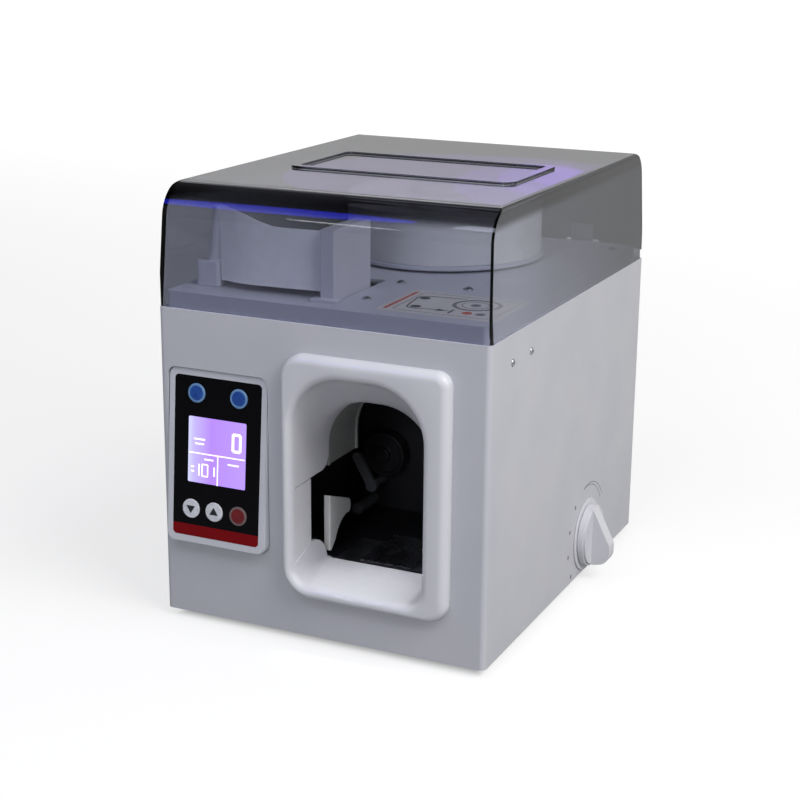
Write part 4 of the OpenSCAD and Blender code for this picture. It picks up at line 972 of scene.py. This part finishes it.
class STRAP_OT_tape(bpy.types.Operator):
    """Reel, paper tape and its guides on the deck"""
    bl_idname = "strap.tape"
    bl_label = "Tape reel"

    def ribbon(self):
        """The free tape: a strip on its edge along a curve from the post to the slot, higher at the post."""
        low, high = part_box("tape_strip")
        curve = bpy.data.curves.new("tape_path", "CURVE")
        curve.dimensions = "3D"
        curve.resolution_u = 16
        spline = curve.splines.new("BEZIER")
        # it swings to the front between the post and the slot
        path = [(low.x, high.y), (low.x + 18 * MM, high.y - 4.0 * MM), (low.x + 42 * MM, low.y + 0.6 * MM),
                (high.x, high.y - 1.0 * MM)]
        spline.bezier_points.add(len(path) - 1)
        for point, (x, y) in zip(spline.bezier_points, path):
            point.co = (x, y, 0)
            point.handle_left_type = point.handle_right_type = "AUTO"
        carrier = put("tape_path", curve)
        graph = bpy.context.evaluated_depsgraph_get()
        line = [v.co.copy() for v in carrier.evaluated_get(graph).to_mesh().vertices]
        bpy.data.objects.remove(carrier)
        half, raised, fall_start, fall_length = 0.12 * MM, 9.5 * MM, 0.15, 0.6
        last = len(line) - 1
        rings = []
        for i, p in enumerate(line):
            along = (line[min(i + 1, last)] - line[max(i - 1, 0)]).normalized()
            side = Vector((-along.y, along.x, 0)) * half
            fall = min(max((i / last - fall_start) / fall_length, 0), 1)
            top = high.z + raised * (1 - fall * fall * (3 - 2 * fall))
            foot, head = Vector((0, 0, low.z)), Vector((0, 0, top))
            rings.append([p + side + foot, p - side + foot, p - side + head, p + side + head])
        strip = piece("paper_tape", *loft(rings, caps=(True, True)), finish("paper"), "tape_strip", smooth=50)
        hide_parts("tape_strip")

    def execute(self, context):
        dress("turntable", "grey_abs", 0.6, 2)
        dress("roll_core", "core", 0.3, 1)
        dress("paper_roll", "wound", 0.5, 2)
        dress("guide_post", "white_abs", 0.8, 2)
        dress("guide_disc", "white_abs", 0.6, 2)
        dress("slot_guide", "white_abs", 0.4, 2)
        self.ribbon()
        return {"FINISHED"}


class STRAP_OT_label(bpy.types.Operator):
    """Threading label on the deck, with plain signs of a roll, two rollers, the tape's path and the slot"""
    bl_idname = "strap.label"
    bl_label = "Deck label"

    def execute(self, context):
        dress("deck_label", "label", 0.1, 1)
        low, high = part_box("deck_label")
        z0, z1 = high.z, high.z + 0.06 * MM

        # these take places in mm from the label's front left corner
        def circle(x, y, r):
            return arc(low.x + x * MM, low.y + y * MM, r * MM, 0, 360, 36)[:-1]

        def line(*points):
            return [(low.x + x * MM, low.y + y * MM) for x, y in points]

        def disc(x, y, r):
            return slab(circle(x, y, r), z0, z1)

        def bend(x, y, r, start, end):
            return arc(low.x + x * MM, low.y + y * MM, r * MM, start, end, 8)

        def drawn(points, width, closed=False):
            return stroke(points, width * MM, z0, z1, closed)

        border = round_rect(low.x + 9 * MM, high.x - 4 * MM, low.y + 5 * MM, high.y - 5 * MM,
                            [4 * MM] * 4, 6)
        path = line((42, 51), (22, 49), (16, 47)) + bend(16, 42, 5, 90, 200)
        path += line((13, 26), (14, 20)) + bend(20, 18, 5.5, 190, 290) + line((34, 15), (44, 15))
        prints = {
            "ink_red": [drawn(line((4, 5), (4, 57)), 2.4), disc(57, 15, 3.4)],
            "ink_grey": [drawn(border, 0.6, True), drawn(circle(54, 37, 14), 2.6, True),
                         drawn(circle(54, 37, 9), 0.7, True), disc(54, 37, 3.5), disc(66, 15, 3.4)],
            "ink_black": [drawn(path, 1.1), disc(16, 42, 3.6), disc(20, 18, 3.6),
                          drawn(line((46, 10), (46, 20)), 1.6),
                          slab(line((36, 12), (43, 15), (36, 18)), z0, z1)]}
        for ink, parts in prints.items():
            piece("label_" + ink, *joined(parts), finish(ink), "deck_label", smooth=0)
        return {"FINISHED"}


# ---------- dial ----------


class STRAP_OT_dial(bpy.types.Operator):
    """Tension dial with its bar grip, its plate and the printed marks round it"""
    bl_idname = "strap.dial"
    bl_label = "Dial"

    def marks(self):
        """Dots printed on a circle round the dial, on the cabinet's side."""
        tree, given, out = nodes_group("dial_marks", [
            ("Radius", "NodeSocketFloat", 0.036), ("Dot", "NodeSocketFloat", 0.0012),
            ("Count", "NodeSocketInt", 5), ("Start", "NodeSocketFloat", 2.4),
            ("Step", "NodeSocketFloat", 0.5), ("Centre", "NodeSocketVector", (0.0, 0.0, 0.0)),
            ("Thick", "NodeSocketFloat", 0.0001), ("Material", "NodeSocketMaterial", None)])
        dot = add(tree, "GeometryNodeMeshCylinder", {"Vertices": 16, "Radius": given.outputs["Dot"],
                                                     "Depth": given.outputs["Thick"]})
        line = add(tree, "GeometryNodePoints", {"Count": given.outputs["Count"]})
        index = add(tree, "GeometryNodeInputIndex")
        angle = add(tree, "ShaderNodeMath", {0: index.outputs[0], 1: given.outputs["Step"],
                                             2: given.outputs["Start"]}, operation="MULTIPLY_ADD")
        cos = add(tree, "ShaderNodeMath", {0: angle.outputs[0]}, operation="COSINE")
        sin = add(tree, "ShaderNodeMath", {0: angle.outputs[0]}, operation="SINE")
        y = add(tree, "ShaderNodeMath", {0: cos.outputs[0], 1: given.outputs["Radius"]}, operation="MULTIPLY")
        z = add(tree, "ShaderNodeMath", {0: sin.outputs[0], 1: given.outputs["Radius"]}, operation="MULTIPLY")
        spot = add(tree, "ShaderNodeCombineXYZ", {1: y.outputs[0], 2: z.outputs[0]})
        move = add(tree, "ShaderNodeVectorMath", {0: spot.outputs[0], 1: given.outputs["Centre"]},
                   operation="ADD")
        placed = add(tree, "GeometryNodeSetPosition", {"Geometry": line.outputs[0],
                                                       "Position": move.outputs[0]})
        copies = add(tree, "GeometryNodeInstanceOnPoints", {
            "Points": placed.outputs[0], "Instance": dot.outputs[0], "Rotation": (0.0, math.pi / 2, 0.0)})
        real = add(tree, "GeometryNodeRealizeInstances", {0: copies.outputs[0]})
        paint = add(tree, "GeometryNodeSetMaterial", {"Geometry": real.outputs[0],
                                                      "Material": given.outputs["Material"]})
        tree.links.new(paint.outputs[0], out.inputs[0])
        return tree

    def execute(self, context):
        dress("dial_plate", "white_abs", 0.4, 2)
        dress("dial_knob", "white_abs", 0.9, 3)
        low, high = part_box("dial_plate")
        centre = (low.x, (low.y + high.y) / 2, (low.z + high.z) / 2)
        ink = finish("ink_grey")
        grown("dial_marks", self.marks(), {"Radius": 38.3 * MM, "Dot": 1.6 * MM, "Count": 4, "Centre": centre,
                                           "Start": math.radians(132), "Step": math.radians(28.5),
                                           "Thick": 0.12 * MM, "Material": ink}, ink, "dial_plate")
        # a pair of lines that part towards the strong end of the scale, printed on the cabinet's side
        turn = Matrix(((0, 0, 1, centre[0]), (1, 0, 0, centre[1]), (0, 1, 0, centre[2]), (0, 0, 0, 1)))
        steps, weak_end, sweep = 24, math.radians(102), math.radians(-70)
        scale = []
        for start, end in ((37.6 * MM, 36.4 * MM), (38.0 * MM, 40.6 * MM)):
            line = []
            for i in range(steps + 1):
                angle, radius = weak_end + sweep * i / steps, start + (end - start) * i / steps
                line.append((radius * math.cos(angle), radius * math.sin(angle)))
            scale.append(stroke(line, 0.55 * MM, 0.0, 0.06 * MM))
        verts, faces = joined(scale)
        piece("dial_scale", [turn @ v for v in verts], faces, ink, "dial_plate", smooth=0)
        return {"FINISHED"}


# ---------- cover ----------


class STRAP_OT_cover(bpy.types.Operator):
    """Smoked cover with its hinges"""
    bl_idname = "strap.cover"
    bl_label = "Cover"

    def execute(self, context):
        dress("smoked_cover", "smoke", 0.8, 3, smooth=25)
        dress("hinge_pin", "steel", 0.3, 1)
        return {"FINISHED"}


# ---------- studio ----------


class STRAP_OT_studio(bpy.types.Operator):
    """Camera, lamps, white floor and backdrop"""
    bl_idname = "strap.studio"
    bl_label = "Studio"

    def camera(self, sizes):
        """The photograph's camera, by its place, its direction and its roll."""
        az, el, roll = (math.radians(v) for v in (sizes.azimuth, sizes.elevation, sizes.roll))
        back = Vector((math.sin(az) * math.cos(el), -math.cos(az) * math.cos(el), math.sin(el)))
        level = Vector((math.cos(az), math.sin(az), 0))
        upright = back.cross(level)
        right = math.cos(roll) * level + math.sin(roll) * upright
        up = -math.sin(roll) * level + math.cos(roll) * upright
        data = bpy.data.cameras.new("camera")
        data.lens = sizes.lens
        data.sensor_width = 36
        data.clip_end = 20
        thing = put("camera", data)
        turn = Matrix((right, up, back)).transposed().to_4x4()
        thing.matrix_world = Matrix.Translation(sizes.place) @ turn
        bpy.context.scene.camera = thing

    def lamp(self, name, place, aim, size, power, colour="#FFFFFF"):
        """A flat lamp of that size and power, turned to the point it aims at."""
        data = bpy.data.lights.new(name, "AREA")
        data.shape = "RECTANGLE"
        data.size, data.size_y = size
        data.energy = power
        data.color = linear(colour)[:3]
        thing = put(name, data)
        thing.location = place
        thing.rotation_mode = "QUATERNION"
        thing.rotation_quaternion = (Vector(aim) - Vector(place)).to_track_quat("-Z", "Y")
        return thing

    def sweep(self):
        """Floor and backdrop in one curved sheet."""
        half_width, front, back, radius, top = 6.0, -5.0, 2.0, 1.0, 1.7
        rings = []
        for x in (-half_width, half_width):
            line = [Vector((x, front, 0)), Vector((x, back, 0))]
            for a in (math.radians(angle) for angle in range(10, 91, 10)):
                line.append(Vector((x, back + radius * math.sin(a), radius - radius * math.cos(a))))
            line.append(Vector((x, back + radius, top)))
            rings.append(line)
        count = len(rings[0])
        faces = [(i, i + 1, count + i + 1, count + i) for i in range(count - 1)]
        mesh = mesh_of("studio_sweep", [p for ring in rings for p in ring], faces, outward=False)
        thing = put("studio_sweep", mesh)
        mesh.materials.append(studio_white("studio_white", 0.68))
        mesh.shade_smooth()

    def world(self, strength):
        """White for the camera and through glass, a room for reflections, and plain light for the rest."""
        scene = bpy.context.scene
        scene.world = bpy.data.worlds.new("studio")
        scene.world.use_nodes = True
        tree = scene.world.node_tree
        tree.nodes.clear()
        level = add(tree, "ShaderNodeMapRange", {"Value": seen_by(tree, "Camera", "Transmission"),
                                                 3: strength, 4: 1.0})
        way = add(tree, "ShaderNodeTexCoord")
        split = add(tree, "ShaderNodeSeparateXYZ", {0: way.outputs["Generated"]})
        # reflections see white behind the machine, a dark ceiling and a dim room in front
        ceiling = add(tree, "ShaderNodeMapRange", {"Value": split.outputs[2], 1: 0.3, 2: 0.6,
                                                   3: 0.9, 4: 0.06})
        room = add(tree, "ShaderNodeMapRange", {"Value": split.outputs[1], 1: -0.2, 2: 0.3, 3: 0.2, 4: 1.0})
        mirrored = add(tree, "ShaderNodeMath", {0: ceiling.outputs[0], 1: room.outputs[0]},
                       operation="MULTIPLY")
        choice = add(tree, "ShaderNodeMix", {0: seen_by(tree, "Glossy"), 2: level.outputs[0],
                                             3: mirrored.outputs[0]})
        light = add(tree, "ShaderNodeBackground", {"Color": linear("#FFFFFF"), "Strength": choice.outputs[0]})
        add(tree, "ShaderNodeOutputWorld", {"Surface": light.outputs[0]})

    def execute(self, context):
        light = context.scene.strap_light
        self.camera(context.scene.strap_camera)
        self.lamp("key", (1.5, -0.5, 1.6), (0, 0, 0.15), (1.4, 1.4), light.key)
        self.lamp("fill", (0.15, -1.9, 0.75), (0, 0, 0.15), (0.5, 0.5), light.fill, "#E6EBFF")
        self.lamp("front", (-0.1, -0.95, 1.15), (0, -0.15, 0.2), (0.6, 0.3), light.front, "#E6EBFF")
        # a narrow lamp under the mouth's top edge, because little of the others reaches its floor
        low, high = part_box("mouth_bezel")
        middle, inside = (low.x + high.x) / 2 - 4 * MM, low.y + 25 * MM
        mouth = self.lamp("mouth", (middle, inside, high.z - 40 * MM), (middle, inside + 6 * MM, low.z),
                          (60 * MM, 10 * MM), light.mouth)
        mouth.data.spread = math.radians(55)
        mouth.visible_camera = mouth.visible_glossy = mouth.visible_transmission = False
        # cards that only reflections see: a blue one and a white one over the cover's bend, and violet ones
        # behind, one within the other, so that their edge is soft
        for name, place, size, glow, colour in (
                ("card_blue", (-0.64, -0.88, 1.08), (0.36, 0.50), 5.5, "#2A30F0"),
                ("card_white", (-0.53, -1.15, 0.68), (0.16, 0.07), 6.0, "#FFFFFF"),
                ("card_violet", (-0.66, 1.65, 0.591), (0.66, 0.090), 0.13, "#A56EFF"),
                ("card_violet_middle", (-0.55, 1.66, 0.594), (0.26, 0.075), 0.12, "#8F58FF"),
                ("card_violet_inner", (-0.52, 1.67, 0.583), (0.17, 0.055), 0.16, "#8F58FF"),
                ("card_violet_core", (-0.50, 1.68, 0.575), (0.10, 0.036), 0.18, "#8F58FF")):
            power = glow * math.pi * size[0] * size[1]
            card = self.lamp(name, place, (0, -0.15, 0.29), size, power, colour)
            card.data.shape = "ELLIPSE"
            card.visible_camera = card.visible_diffuse = card.visible_transmission = False
        self.sweep()
        self.world(light.sky)
        context.scene.view_settings.view_transform = "Standard"
        return {"FINISHED"}


# ---------- add-on ----------


class STRAP_PT_panel(bpy.types.Panel):
    """Lists the machine's pieces"""
    bl_idname = "STRAP_PT_panel"
    bl_label = "Strapping machine"
    bl_space_type = "VIEW_3D"
    bl_region_type = "UI"
    bl_category = "Strapping"

    def draw(self, context):
        for operator in OPERATORS:
            self.layout.operator(operator.bl_idname)
        for group in GROUPS:
            held = getattr(context.scene, group)
            for name in held.__annotations__:
                self.layout.prop(held, name)


OPERATORS = (STRAP_OT_studio, STRAP_OT_cabinet, STRAP_OT_screws, STRAP_OT_panel, STRAP_OT_mouth,
             STRAP_OT_works, STRAP_OT_tape, STRAP_OT_label, STRAP_OT_dial, STRAP_OT_cover)
GROUPS = {"strap_camera": CameraSizes, "strap_moulding": MouldingSizes, "strap_light": StudioLight}


def register():
    for group in GROUPS.values():
        bpy.utils.register_class(group)
    for operator in OPERATORS:
        bpy.utils.register_class(operator)
    bpy.utils.register_class(STRAP_PT_panel)
    for name, group in GROUPS.items():
        setattr(bpy.types.Scene, name, bpy.props.PointerProperty(type=group))


def unregister():
    for name in GROUPS:
        delattr(bpy.types.Scene, name)
    bpy.utils.unregister_class(STRAP_PT_panel)
    for operator in reversed(OPERATORS):
        bpy.utils.unregister_class(operator)
    for group in GROUPS.values():
        bpy.utils.unregister_class(group)


def main():
    register()
    for operator in OPERATORS:
        area, name = operator.bl_idname.split(".")
        getattr(getattr(bpy.ops, area), name)()


if __name__ == "__main__":
    main()
